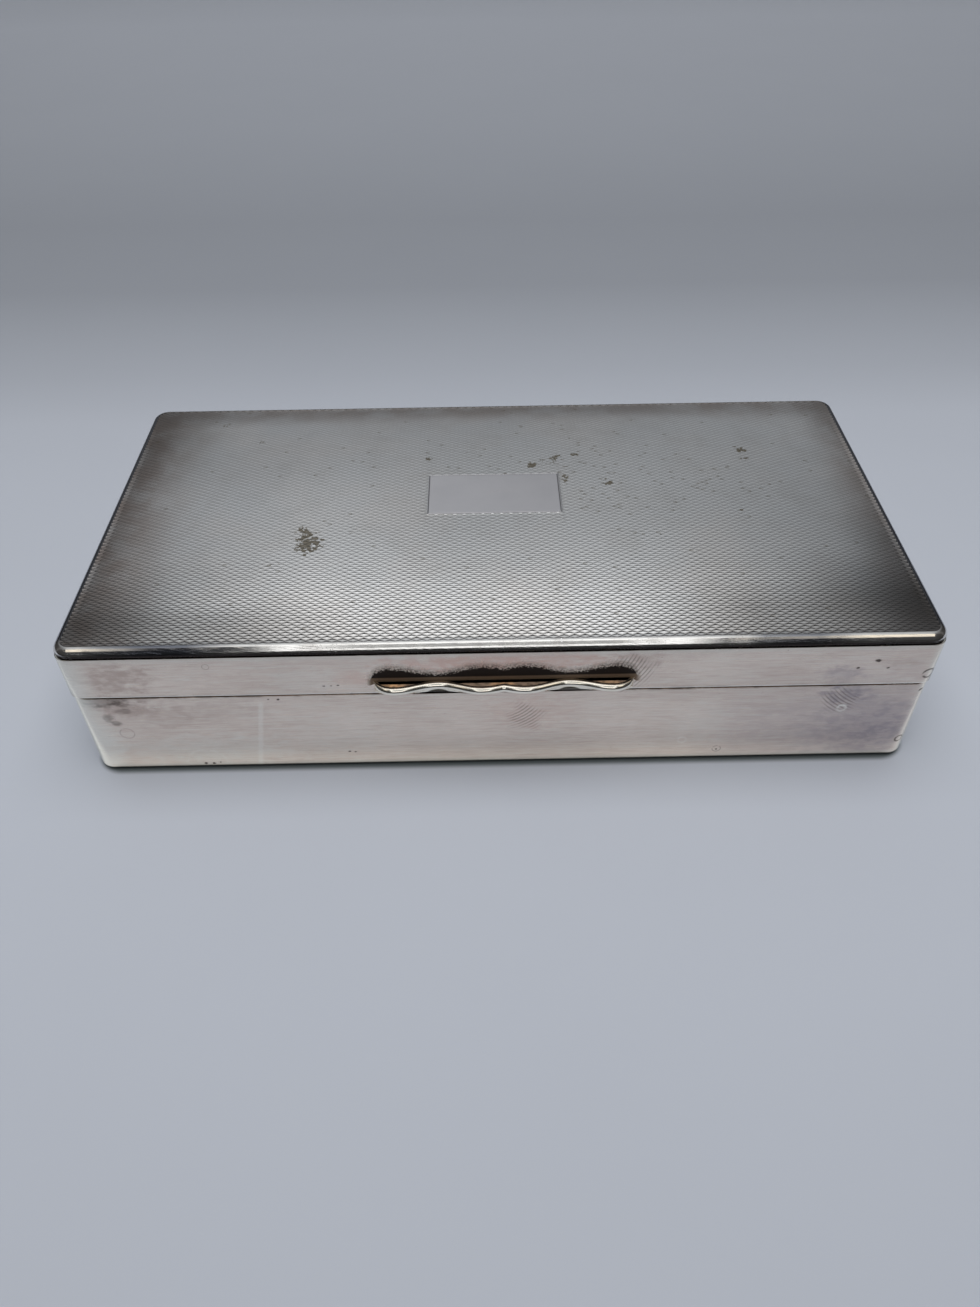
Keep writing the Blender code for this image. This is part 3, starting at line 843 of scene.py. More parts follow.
DARK_SPECKS = [
    (-64.9, 1.9, 0.42), (-63.1, 1.8, 0.36), (-61.7, 2.1, 0.22), (-33.0, 4.9, 0.28), (-31.8, 4.7, 0.25),
    (-46.0, 21.6, 0.30), (-48.0, 21.7, 0.22), (75.7, 29.7, 0.55), (72.1, 27.7, 0.35), (78.2, 27.6, 0.3),
    (87.0, 20.6, 0.5), (47.0, 3.4, 0.25), (-36.1, 25.3, 0.25), (-33.2, 25.4, 0.25), (-34.6, 25.3, 0.18),
]
UNDER_LEDGE_SHADE_ALONG = [
    (-18.0, 0.0), (-16.0, 1.0), (-6.4, 1.0), (-5.0, 0.0), (9.5, 0.0), (11.0, 0.9), (19.0, 0.7), (21.0, 0.0),
]
FINGER_MARKS = [(-2.0, 24.0, 5.0, 15.0, 4.6), (80.0, 30.0, 70.5, 18.2, 4.4), (10.0, 38.0, 26.0, 27.5, 6.0)]
print(len(WALL_PATCHES), "patches,", len(DRIP_RINGS), "rings")

# %% Small marks on the front wall
RIDGE_RATE = 8.2
RUN_PLACE = -53.2
RUN_SLANT = 0.17
RUN_WIDTH = (0.75, 0.25)
RUN_TOP = (21.6, 20.0)
LEDGE_SPAN = 4.0
LEDGE_PLACES = (0.0, 2.2, 4.5, 7.4, 10.3, 13.2, 16.2, 19.2, 22.2, 23.8, 25.0, 25.8, 26.3)
REFLECTION_DROP = 0.25
SMOKE_REACH = (-2.0, 0.1)


def small_marks(face, place):
    """Drip rings, dark specks and the ridges of fingertips, as one mask."""
    rings = []
    for ring_x, ring_z, radius, width, strength in DRIP_RINGS:
        rings.append(times(ring(face, (ring_x, ring_z, 0.0), radius, width), strength))
    marks = [times(strongest(*rings), cloud(place, 1.2, 0.36, 0.48))]
    for dot_x, dot_z, reach in DARK_SPECKS:
        marks.append(stain(face, (dot_x, dot_z, 0.0), (1.4 * reach, reach, 1.0), grain=0.6))
    for from_x, from_z, print_x, print_z, reach in FINGER_MARKS:
        away = distance(vectors("SUBTRACT", face, (from_x, from_z, 0.0)))
        ridges = soft_step(maths("SINE", times(away, RIDGE_RATE)), 0.0, 0.9)
        marks.append(times(ridges, stain(face, (print_x, print_z, 0.0), (reach, reach, 1.0), grain=3.0), 0.5))
    return strongest(*marks)


def pale_marks(face, x, z, mottle):
    """Pale drip rings and one pale run from the seam, as one mask."""
    marks = []
    for ring_x, ring_z, radius, width, strength in PALE_RINGS:
        drop = ring(face, (ring_x, ring_z, 0.0), radius, width)
        marks.append(times(drop, spread(mottle, 0.3 * strength, strength)))
    off_run = unsigned(minus(times_plus(z, -RUN_SLANT, x), RUN_PLACE))
    marks.append(times(soft_step(off_run, *RUN_WIDTH), soft_step(z, *RUN_TOP), 0.40))
    return strongest(*marks)


def ledge_reflection_mask(x, z, place):
    """The ledge's painted dark reflection on the wall over it: solid near it in the ledge's own waves, then a
    ragged smoky edge.
    """
    steps = [-step for step in LEDGE_PLACES[:0:-1]] + list(LEDGE_PLACES)
    stops = [(1.03 * step + THUMB_SHIFT, thumb_reach(step) / LEDGE_SPAN) for step in steps]
    above = minus(z, thumb_high.z / MM - REFLECTION_DROP)
    off_middle = unsigned(minus(x, THUMB_SHIFT))
    round_end = soft_step(off_middle, TIP_PLACE - 0.2, TIP_PLACE + 0.8)
    past = soft_step(times_plus(round_end, 0.5, above), -0.7, -0.4)
    inside = minus(times(graded(x, stops), 1.12 * LEDGE_SPAN), above)
    fray = cloud(place, 0.40, 0.36, 0.62)
    solid = soft_step(times_plus(fray, 0.6, inside), -0.15, 0.65)
    halo = times(soft_step(inside, *SMOKE_REACH), times_plus(fray, 0.62, 0.22))
    return times(strongest(solid, halo), soft_step(off_middle, TIP_PLACE + 1.7, TIP_PLACE + 0.3), past)


print("a ridge every", 4 * QUARTER_TURN / RIDGE_RATE, "mm")

# %% Wall silver
PLATE_FOOT = lid_high.z / MM
SEAM = lid_low.z / MM
LEDGE_TOP = thumb_high.z / MM
CORNER_LEFT = (81.0, 88.2)
CORNER_RIGHT = (85.6, 88.6)
CORNER_FRONT = (42.0, 45.2)
WALL_END = (87.4, 88.8)
FOOT_LIGHT_REACH = (2.6, 1.0)
SEAM_REACH = (0.9, 0.10)
RIM_HIGHLIGHT_PLACE, RIM_HIGHLIGHT_REACH = 0.18, (0.22, 0.10)
UNDER_LEDGE_SHADE_REACH = (0.50, 0.25)
LINE_HEIGHT = 0.009


def buffed_tone(place, wide, mottle, x, z, front):
    """The buffed wall before anything is spilt on it: warm, streaked level, with broad patches."""
    streaks = buffing(place, 10.0, 0.45)
    fine = buffing(place, 3.5, 0.24)
    violet = times(graded(x, VIOLET_ALONG), graded(z, VIOLET_UP), front)
    tone = lay(
        WALL_WARM,
        (cloud(wide, 9.0, 0.35, 0.68), 0.26, WALL_BROWN),
        (soft_step(streaks, 0.50, 0.70), 0.30, WALL_BROWN),
        (soft_step(streaks, 0.50, 0.32), 0.40, WALL_PALE),
        (soft_step(fine, 0.48, 0.66), 0.24, WALL_BROWN),
        (soft_step(fine, 0.50, 0.34), 0.24, WALL_PALE),
        (violet, spread(mottle, 0.72, 1.0), WALL_VIOLET),
    )
    for patch_x, patch_z, reach_x, reach_z, patch_tone, strength in WALL_PATCHES:
        centre = (patch_x * LEVEL_STRETCH, -WALL_FACE, patch_z)
        patch = stain(wide, centre, (reach_x * LEVEL_STRETCH, 70.0, reach_z), 0.8)
        tone = lay(tone, (patch, spread(mottle, 0.5 * strength, strength), patch_tone))
    return tone


def pale_zones_and_foot_light(x, y, z):
    """The pale zones at the upright corners and under the plate, and a painted highlight along the foot, as one
    mask.
    """
    left = times(soft_step(unsigned(x), *CORNER_LEFT), soft_step(x, 1.0, -1.0))
    past_x = strongest(left, soft_step(x, *CORNER_RIGHT))
    corner = times(past_x, soft_step(unsigned(y), *CORNER_FRONT), 0.90)
    # Painted highlight: the foot is paler up to about 2.6 mm.
    foot = times(soft_step(z, *FOOT_LIGHT_REACH), 0.5)
    under_plate = times(soft_step(z, PLATE_FOOT - 1.2, PLATE_FOOT + 0.1), 0.4)
    return strongest(corner, foot, under_plate)


def wall_silver():
    """Buffed silver wall."""
    material, tree, shader, place = start_finish("wall_silver", 1.0, 0.30)
    x, y, z = axes(place)
    face = joined(x, z)
    front = soft_step(y, 2.0 - WALL_FACE, 0.2 - WALL_FACE)
    wide = vectors("MULTIPLY", place, (LEVEL_STRETCH, LEVEL_STRETCH, 1.0))
    mottle = cloud(wide, 1.3, 0.36, 0.66)
    off_seam = unsigned(minus(z, SEAM - 0.1))
    ledge_reflection = times(ledge_reflection_mask(x, z, place), front)
    low_part = soft_step(z, LEDGE_TOP + 0.95, LEDGE_TOP + 0.55)
    # Painted shade: black along the seam under the ledge's waists.
    under_ledge_shade = times(soft_step(unsigned(minus(z, SEAM)), *UNDER_LEDGE_SHADE_REACH), graded(x, UNDER_LEDGE_SHADE_ALONG))
    tone = lay(
        buffed_tone(place, wide, mottle, x, z, front),
        (pale_zones_and_foot_light(x, y, z), 1.0, WALL_PALE),
        (soft_step(unsigned(x), *WALL_END), 0.85, WALL_SIDE),
        (times(small_marks(face, place), front), 0.95, WALL_DARK),
        (pale_marks(face, x, z, mottle), front, WALL_WHITE),
        (times(soft_step(off_seam, *SEAM_REACH), cloud(wide, 3.0, 0.46, 0.62)), 0.55, TARNISH_BROWN),
        # Painted highlight: a thin white line along the lid's lower rim, just above the seam.
        (soft_step(unsigned(minus(z, SEAM + RIM_HIGHLIGHT_PLACE)), *RIM_HIGHLIGHT_REACH), 0.7, RIM_HIGHLIGHT_TONE),
        # Painted shade: a black line along the very foot of the wall.
        (soft_step(z, FOOT_SHADE_LINE + 0.20, FOOT_SHADE_LINE + 0.08), 1.0, PAINTED_SHADE_BLACK),
        # Painted reflection: the ledge mirrored dark on the wall above it, brown at its low edge.
        (ledge_reflection, 1.0, blend(low_part, REFLECTION_AND_SHADE_BLACK, REFLECTION_LOW_BROWN)),
        (under_ledge_shade, front, REFLECTION_AND_SHADE_BLACK),
        (cloud(place, 0.45, 0.69, 0.75), 0.55, TARNISH_BROWN),
    )
    lines = buffing(place, 6.0, 0.08)
    rough = times_plus(lines, 0.16, times_plus(ledge_reflection, 0.3, 0.17))
    fill(shader, {"Base Color": tone, "Metallic": minus(1.0, ledge_reflection), "Roughness": rough})
    fill(shader, {"Specular IOR Level": 0.1})
    raise_marks(shader, lines, LINE_HEIGHT)
    return material


walls = wall_silver()
print("made", walls.name)

# %% Thumbpiece silver
OLD_POLISH = [
    (-26.0, 0.0), (-24.0, 0.8), (-21.5, 1.0), (-18.8, 0.0), (-2.6, 0.0), (-1.2, 0.8), (1.5, 0.8), (3.4, 0.0),
    (19.0, 0.0), (20.5, 0.4), (23.0, 0.35), (24.6, 0.0),
]
CAST_TONES = ((1.0, 0.955, 0.85, 1.0), (0.95, 0.90, 0.78, 1.0))
RESIDUE_TONES = ((0.12, 0.085, 0.06, 1.0), (0.27, 0.19, 0.135, 1.0))
POLISH_TONE = (0.72, 0.42, 0.21, 1.0)


def thumb_silver():
    """Cast silver with a bright lip, a yellowed front and old polish dried brown in the dish behind the lip."""
    material, tree, shader, place = start_finish("thumb_silver", 1.0, 0.16)
    x = axes(place)[0]
    dish = mesh_note(tree, "dish")
    crust = cloud(place, 1.1, 0.35, 0.60)
    polish = (graded(x, OLD_POLISH), spread(crust, 0.25, 1.0), POLISH_TONE)
    residue = lay(blend(crust, *RESIDUE_TONES), polish)
    tone = blend(dish, blend(cloud(place, 3.0, 0.4, 0.7), *CAST_TONES), residue)
    rough = times_plus(dish, 0.38, 0.14)
    fill(shader, {"Base Color": tone, "Metallic": minus(1.0, dish), "Roughness": rough})
    raise_marks(shader, times(crust, dish), 0.06)
    return material


thumb_finish = thumb_silver()
print("made", thumb_finish.name)

# %% Hinge silver
HINGE_TONES = ((0.78, 0.75, 0.72, 1.0), (0.45, 0.40, 0.37, 1.0))


def hinge_silver():
    """Drawn tube and wire, greyed in cloudy patches."""
    material, tree, shader, place = start_finish("hinge_silver", 1.0, 0.24)
    clouds = cloud(place, 4.0, 0.40, 0.70)
    fill(shader, {"Base Color": blend(clouds, *HINGE_TONES), "Roughness": times_plus(clouds, 0.15, 0.20)})
    raise_marks(shader, scratches(place, 0.0, 6.0, 0.07, 0.55), 0.006)
    return material


hinge_finish = hinge_silver()
print("made", hinge_finish.name)

# %% Silver inside the lid and underneath
HIDDEN_TONES = ((0.78, 0.745, 0.69, 1.0), (0.62, 0.57, 0.51, 1.0))


def hidden_silver():
    """Silver that no cloth reaches: evenly dulled, with rubbed lines."""
    material, tree, shader, place = start_finish("hidden_silver", 1.0, 0.32)
    clouds = cloud(place, 22.0, 0.30, 0.72)
    tone = lay(blend(clouds, *HIDDEN_TONES), (cloud(place, 1.3, 0.68, 0.76), 0.5, TARNISH_BROWN))
    fill(shader, {"Base Color": tone, "Roughness": times_plus(clouds, 0.14, 0.26)})
    rubs = strongest(scratches(place, 0.5, 14.0, 0.14, 0.60), scratches(place, -0.9, 10.0, 0.12, 0.62))
    raise_marks(shader, rubs, 0.008)
    return material


hidden_finish = hidden_silver()
print("made", hidden_finish.name)

# %% [markdown]
# ### Cedar
# The lining is thin cedar, planed and left bare. Its grain is long streaks with darker lines between the
# years' growth, and it runs along each board, so the finish is made once for each direction.

# %% Cedar
STREAKS = (3.0, 60.0)
FIBRES = (1.0 / 6.0, 4.0)
CEDAR_TONES = ((0.46, 0.235, 0.115, 1.0), (0.33, 0.150, 0.070, 1.0))
GROWTH_RATE = 42.0
GROWTH_TONE = (0.25, 0.105, 0.05, 1.0)
FIBRE_TONE = (0.20, 0.085, 0.04, 1.0)


def squeezed(place, along, across, length):
    """A place in units of a grain's width across it and of its length along it."""
    sizes = [1.0 / across] * 3
    sizes[along] = 1.0 / length
    return vectors("MULTIPLY", place, tuple(sizes))


def cedar(name, along):
    """Bare cedar whose grain runs along one axis: 0 for X, 1 for Y."""
    material, tree, shader, place = start_finish(name, 0.0, 0.6)
    streaks = noise(squeezed(place, along, *STREAKS), 1.0, 5.0, Roughness=0.6, Distortion=0.4)
    fibres = noise(squeezed(place, along, *FIBRES), 1.0, 3.0)
    tone = lay(
        blend(streaks, *CEDAR_TONES),
        (soft_step(maths("SINE", times(streaks, GROWTH_RATE)), 0.3, 1.0), 0.45, GROWTH_TONE),
        (soft_step(fibres, 0.5, 0.75), 0.35, FIBRE_TONE),
    )
    fill(shader, {"Base Color": tone, "Roughness": spread(fibres, 0.50, 0.72)})
    raise_marks(shader, fibres, 0.05)
    return material


cedar_x = cedar("cedar_along_x", 0)
cedar_y = cedar("cedar_along_y", 1)
print("made", cedar_x.name, "and", cedar_y.name)

# %% [markdown]
# ## Modelling helpers
# Most pieces end the same way: outward faces, smooth shading that stops at real edges, a finish, a body to ride
# on, and the node that they stand for. A second helper copies a solid from the frame, merges it and breaks its
# sharp edges, which is all that a plain board or strip needs.

# %% Modelling helpers
NEAR = 0.001 * MM
UPRIGHT_SEGMENTS = 18


def finish_piece(bm, name, finishes, body, nodes, smooth=math.radians(32)):
    """Makes an object of a bmesh and gives it to the frame."""
    bmesh.ops.recalc_face_normals(bm, faces=bm.faces)
    piece = add_mesh(name, bm)
    mesh = piece.data
    for finish in finishes:
        mesh.materials.append(finish)
    mesh.shade_smooth()
    mesh.set_sharp_from_angle(angle=smooth)
    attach(piece, body)
    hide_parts(*nodes)
    print("made", name, "with", len(mesh.polygons), "faces")
    return piece


def only(kind, made):
    """The items of one kind among what an operator made."""
    return [item for item in made if isinstance(item, kind)]


def apart(edge, axis):
    """How far apart an edge's ends are along an axis."""
    return abs(edge.verts[0].co[axis] - edge.verts[1].co[axis])


def sharp_edges(bm, degrees):
    """The edges where two faces meet at more than an angle."""
    return [edge for edge in bm.edges if edge.is_manifold and edge.calc_face_angle() > math.radians(degrees)]


def break_edges(bm, edges, width, segments=2):
    """Rounds edges by a small width."""
    settings = {"offset": width, "offset_type": "OFFSET", "affect": "EDGES", "profile": 0.5, "material": -1}
    bmesh.ops.bevel(bm, geom=edges, segments=segments, **settings)


def draw_in(bm, face, thickness, depth=0.0):
    """Draws a face in by an even width, and moves it along its normal."""
    bmesh.ops.inset_region(bm, faces=[face], thickness=thickness, depth=depth, use_even_offset=True)


def soften_copy(node, body, finish, width):
    """A merged copy of a frame's solid with its sharp edges broken."""
    bm = bmesh.new()
    bm.from_mesh(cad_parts[node].data)
    bmesh.ops.remove_doubles(bm, verts=bm.verts, dist=2 * NEAR)
    bmesh.ops.dissolve_limit(bm, angle_limit=math.radians(1), verts=bm.verts, edges=bm.edges)
    break_edges(bm, sharp_edges(bm, 35), width)
    return finish_piece(bm, node + "_dressed", [finish], body, [node])


def rounded_block(low, high, radius):
    """A block with round upright corners, as a new bmesh."""
    bm = bmesh.new()
    bmesh.ops.create_cube(bm, size=1.0)
    bmesh.ops.scale(bm, vec=high - low, verts=bm.verts)
    bmesh.ops.translate(bm, vec=(low + high) / 2, verts=bm.verts)
    break_edges(bm, [edge for edge in bm.edges if apart(edge, 2) > NEAR], radius, UPRIGHT_SEGMENTS)
    return bm


def level_face(bm, height):
    """The face that lies level at a height."""
    return next(face for face in bm.faces if all(abs(vert.co.z - height) < NEAR for vert in face.verts))


def hinge_rod(radius, length, segments):
    """A solid rod on the hinge's axis, as a new bmesh."""
    bm = bmesh.new()
    size = {"segments": segments, "radius1": radius, "radius2": radius, "depth": length}
    bmesh.ops.create_cone(bm, cap_ends=True, matrix=Matrix.Rotation(QUARTER_TURN, 4, "Y"), **size)
    bmesh.ops.translate(bm, vec=hinge_axis, verts=bm.verts)
    return bm


print("modelling helpers ready")

# %% [markdown]
# ## The lid's plate
# This is the piece that people look at. On the real box one sheet is cushioned, its edge is rolled into a plain
# border, and a machine cuts zigzag grooves side by side, each the mirror of the next, so that pointed cells
# stand between them. The mesh follows the cuts: a grid has a line of points on each groove and on each ridge,
# its groove lines are swung to and fro, it is trimmed to the round corners, and heights come from one formula.

# %% Sizes of the plate
HALF_CORN = CORN_LENGTH * MM / 2
HALF_ROW = ROW_PITCH * MM / 2
CUT_SWING = 0.20 * MM
FRONT_SLOPE = math.tan(math.radians(16))
REAR_SLOPE = math.tan(math.radians(20))
CREST_SHARE = REAR_SLOPE / (FRONT_SLOPE + REAR_SLOPE)
CUT_DEPTH = 2 * (HALF_ROW + CUT_SWING) * CREST_SHARE * FRONT_SLOPE
FRAME_WIDTH = 0.10 * MM
SCORE_SLACK = 3.0 * MM
BORDER_WIDTH = 1.6 * MM
EDGE_RADIUS = 2.4 * MM
UNDERCUT_RADIUS = 0.5 * MM
UNDERCUT_START = math.radians(72)
DOME_END_POWER = 5.0
DOME_SIDE_POWER = 2.8
plate_half = Vector((plate_high.x, plate_high.y, 0.0))
border_top = plate_low.z + EDGE_RADIUS
plate_foot = plate_low.z + FOOT_TUCK
dome_rise = plate_high.z - border_top
corner_core = plate_half - Vector((PLATE_RADIUS, PLATE_RADIUS, 0.0))


def dome(x, y):
    """How far the cushion stands above its border."""
    along = min(abs(x) / (plate_half.x - EDGE_RADIUS), 1.0)
    across = min(abs(y) / (plate_half.y - EDGE_RADIUS), 1.0)
    return dome_rise * (1.0 - along**DOME_END_POWER) * (1.0 - across**DOME_SIDE_POWER)


def swing(x):
    """How far an even groove swings aside at x: a zigzag, one cell long."""
    return CUT_SWING * (4.0 * abs((x / (2 * HALF_CORN)) % 1.0 - 0.5) - 1.0)


def above_cut(x, y):
    """The height of the engraved surface above the bottom of its nearest groove."""
    pitch = 2 * HALF_ROW
    aside = swing(x)
    ahead = min((y - aside) % (2 * pitch), (y + aside - pitch) % (2 * pitch))
    behind = min((aside - y) % (2 * pitch), (pitch - aside - y) % (2 * pitch))
    return min(FRONT_SLOPE * ahead, REAR_SLOPE * behind)


def in_cartouche(x, y, slack=0.01 * MM):
    """True on the blank shield."""
    return (
        abs(x - CARTOUCHE_X * MM) < CARTOUCHE_HALF_X * MM + slack
        and abs(y - CARTOUCHE_Y * MM) < CARTOUCHE_HALF_Y * MM + slack
    )


print("cut depth:", CUT_DEPTH, "dome:", dome_rise)

# %% Trimming the plate to its outline
CORNER_CUTS = 10


def nearest_core(place):
    """The nearest point of the rectangle that the round corners are drawn round."""
    x = max(-corner_core.x, min(corner_core.x, place.x))
    y = max(-corner_core.y, min(corner_core.y, place.y))
    return Vector((x, y, 0.0))


def cut_plane(bm, place, outward, faces=None, trim=True):
    """Cuts faces along a plane, and takes away what lies outside it if told to trim."""
    faces = bm.faces[:] if faces is None else faces
    edges = {edge for face in faces for edge in face.edges}
    verts = {vert for face in faces for vert in face.verts}
    geom = list(verts) + list(edges) + faces
    bmesh.ops.bisect_plane(bm, geom=geom, dist=NEAR, plane_co=place, plane_no=outward, clear_outer=trim)


def trim_to_border(bm):
    """Trims the grid to the inner line of the border, straight sides first and then each corner."""
    reach = PLATE_RADIUS - BORDER_WIDTH
    side_reach = plate_half - Vector((BORDER_WIDTH, BORDER_WIDTH, 0.0))
    for side in (Vector((1, 0, 0)), Vector((-1, 0, 0)), Vector((0, 1, 0)), Vector((0, -1, 0))):
        cut_plane(bm, Vector((side.x * side_reach.x, side.y * side_reach.y, 0.0)), side)
    for side_x in (-1, 1):
        for side_y in (-1, 1):
            core = Vector((side_x * corner_core.x, side_y * corner_core.y, 0.0))
            for step in range(CORNER_CUTS):
                angle = QUARTER_TURN * (step + 0.5) / CORNER_CUTS
                outward = Vector((side_x * math.cos(angle), side_y * math.sin(angle), 0.0))
                near = []
                for face in bm.faces:
                    middle = face.calc_center_median()
                    if (middle.x - core.x) * side_x > -HALF_CORN and (middle.y - core.y) * side_y > -HALF_CORN:
                        near.append(face)
                cut_plane(bm, core + outward * reach, outward, near)


def score_frame(bm):
    """Cuts the shield's frame into the grid: an inner line, and close outside it one where the cells begin."""
    middle = Vector((CARTOUCHE_X, CARTOUCHE_Y, 0.0)) * MM
    for side, reach in ((Vector((1, 0, 0)), CARTOUCHE_HALF_X * MM), (Vector((0, 1, 0)), CARTOUCHE_HALF_Y * MM)):
        for signed_reach in (-reach - FRAME_WIDTH, -reach, reach, reach + FRAME_WIDTH):
            near = [
                face for face in bm.faces
                if in_cartouche(face.calc_center_median().x, face.calc_center_median().y, SCORE_SLACK)
            ]
            cut_plane(bm, middle + side * signed_reach, side, near, trim=False)


print("corner cuts:", CORNER_CUTS)

# %% The engraved top
FALL_STEP = 0.1 * MM
REAR_FALL = 0.05


def groove_place(line, x):
    """Where an even line of the grid, which is a groove, runs at x."""
    return line * HALF_ROW + (swing(x) if line % 4 == 0 else -swing(x))


def engraved_grid():
    """A flat grid whose grooves zigzag and whose crests lie nearer their back groove, scored and trimmed."""
    columns = math.ceil(plate_half.x / HALF_CORN)
    rows = math.ceil(plate_half.y / HALF_ROW)
    bm = bmesh.new()
    bmesh.ops.create_grid(bm, x_segments=2 * columns, y_segments=2 * rows, size=1.0)
    bmesh.ops.scale(bm, vec=(columns * HALF_CORN, rows * HALF_ROW, 1.0), verts=bm.verts)
    for vert in bm.verts:
        line = round(vert.co.y / HALF_ROW)
        if line % 2 == 0:
            vert.co.y = groove_place(line, vert.co.x)
        else:
            ahead = groove_place(line - 1, vert.co.x)
            vert.co.y = ahead + CREST_SHARE * (groove_place(line + 1, vert.co.x) - ahead)
    score_frame(bm)
    trim_to_border(bm)
    return bm


def sink_cuts(bm):
    """Lifts the grid to the cushion, less the cuts. Notes each point's depth and the faces that look back."""
    depth_note = bm.verts.layers.float.new("cut")
    for vert in bm.verts:
        x, y = vert.co.x, vert.co.y
        sunk = 0.0 if in_cartouche(x, y) else CUT_DEPTH - above_cut(x, y)
        vert[depth_note] = sunk / CUT_DEPTH
        vert.co.z = border_top + dome(x, y) - sunk
    rear_note = bm.faces.layers.float.new("rear")
    bm.normal_update()
    for face in bm.faces:
        if all(in_cartouche(vert.co.x, vert.co.y) for vert in face.verts):
            face.material_index = 1
            continue
        middle = face.calc_center_median()
        fall = face.normal.y / face.normal.z
        rise = dome(middle.x, middle.y + FALL_STEP) - dome(middle.x, middle.y - FALL_STEP)
        face[rear_note] = 1.0 if fall + rise / (2 * FALL_STEP) > REAR_FALL else 0.0


plate_mesh = engraved_grid()
sink_cuts(plate_mesh)
print("engraved faces:", len(plate_mesh.faces))

# %% The border and the underside
EDGE_STEPS = 11
SHOULDER_START = math.radians(14)
UNDERCUT_STEPS = 5
UNDERSIDE_SHARES = (0.97, 0.92, 0.84, 0.73, 0.58, 0.40, 0.20, 0.05)


def border_profile():
    """The border's section as (inset, height) pairs: a round shoulder that turns under at its foot."""
    width = BORDER_WIDTH / (1 - math.sin(SHOULDER_START))
    rise = (border_top + dome(0.0, plate_half.y - BORDER_WIDTH) - plate_foot) / math.cos(SHOULDER_START)
    end = math.atan(math.tan(UNDERCUT_START) * width / rise)
    points = []
    for step in range(1, EDGE_STEPS + 1):
        angle = SHOULDER_START + (end - SHOULDER_START) * step / EDGE_STEPS
        points.append((width * (1 - math.sin(angle)), plate_foot + rise * math.cos(angle)))
    centre_inset = points[-1][0] + UNDERCUT_RADIUS * math.sin(UNDERCUT_START)
    centre_height = points[-1][1] - UNDERCUT_RADIUS * math.cos(UNDERCUT_START)
    turn = 2 * QUARTER_TURN - UNDERCUT_START
    for step in range(1, UNDERCUT_STEPS + 1):
        angle = UNDERCUT_START + turn * step / UNDERCUT_STEPS
        inward = centre_inset - UNDERCUT_RADIUS * math.sin(angle)
        points.append((inward, centre_height + UNDERCUT_RADIUS * math.cos(angle)))
    furthest = min(inward for inward, height in points)
    return [(inward - furthest, height) for inward, height in points]


def draw_rim(bm, rim, place_for, finish):
    """Extrudes the rim once and puts each new point where place_for says."""
    made = bmesh.ops.extrude_edge_only(bm, edges=rim)["geom"]
    moved = set(only(bmesh.types.BMVert, made))
    for vert in moved:
        vert.co = place_for(vert.co)
    for face in only(bmesh.types.BMFace, made):
        face.material_index = finish
    edges = only(bmesh.types.BMEdge, made)
    return [edge for edge in edges if edge.verts[0] in moved and edge.verts[1] in moved]


def at_inset(inset, height, domed=0.0):
    """Puts a point on the outline drawn in by an inset, at a height, with a share of the cushion's rise."""
    def place_for(place):
        core = nearest_core(place)
        outward = Vector((place.x - core.x, place.y - core.y, 0.0)).normalized()
        moved = core + outward * (PLATE_RADIUS - inset)
        moved.z = height + domed * dome(moved.x, moved.y)
        return moved
    return place_for


def shrunk(share, height):
    """Draws a point in towards the middle, on the cushion's underside."""
    def place_for(place):
        moved = Vector((place.x * share, place.y * share, 0.0))
        moved.z = height + dome(moved.x, moved.y)
        return moved
    return place_for


def close_plate(bm):
    """Adds the border round the engraved top, and the underside, ring by ring."""
    inside = border_top - SHEET
    rim = [edge for edge in bm.edges if edge.is_boundary]
    rim = draw_rim(bm, rim, at_inset(BORDER_WIDTH, border_top, 1.0), 2)
    for inward, height in border_profile():
        rim = draw_rim(bm, rim, at_inset(inward, height), 2)
    rim = draw_rim(bm, rim, at_inset(2 * UNDERCUT_RADIUS, plate_foot), 2)
    for height in (plate_foot, inside):
        rim = draw_rim(bm, rim, at_inset(EDGE_RADIUS, height), 3)
    last_share = 1.0
    for share in UNDERSIDE_SHARES:
        rim = draw_rim(bm, rim, shrunk(share / last_share, inside), 3)
        last_share = share
    bmesh.ops.edgeloop_fill(bm, edges=rim, mat_nr=3)
    print("ring edges:", len(rim))


close_plate(plate_mesh)
PLATE_SMOOTH = math.radians(16)
plate_finishes = [turned, cartouche, border, hidden_finish]
finish_piece(
    plate_mesh, "engraved_lid_plate", plate_finishes, "lid", ["lid_plate"], PLATE_SMOOTH
)

# %% [markdown]
# ## The walls
# Each wall is one strip of sheet bent round four corners and soldered shut. A block with rounded uprights has
# the right outside, and insets and extrusions hollow it: cheaper than drawing the strip, and always closed.

# %% The lid's wall
RIM_BREAK = 0.14 * MM
GROOVE_RADIUS = 1.7 * MM
GROOVE_SPARE = 0.6 * MM
GROOVE_SEGMENTS = 48


def break_rims(bm, lowest):
    """Breaks the sharp level rims above a height, so that they catch light."""
    rims = []
    for edge in sharp_edges(bm, 60):
        if apart(edge, 2) < NEAR and edge.verts[0].co.z > lowest:
            rims.append(edge)
    break_edges(bm, rims, RIM_BREAK)


def lid_wall():
    """The lid's wall: a rounded block, opened above and below."""
    low = Vector((-lid_high.x, -lid_high.y, lid_low.z))
    high = Vector((lid_high.x, lid_high.y, lid_high.z + FOOT_TUCK))
    bm = rounded_block(low, high, WALL_RADIUS)
    inner_edges = []
    for height in (low.z, high.z):
        face = level_face(bm, height)
        draw_in(bm, face, SHEET)
        inner_edges += list(face.edges)
        bmesh.ops.delete(bm, geom=[face], context="FACES_ONLY")
    bmesh.ops.bridge_loops(bm, edges=inner_edges)
    break_rims(bm, 0.0)
    return bm


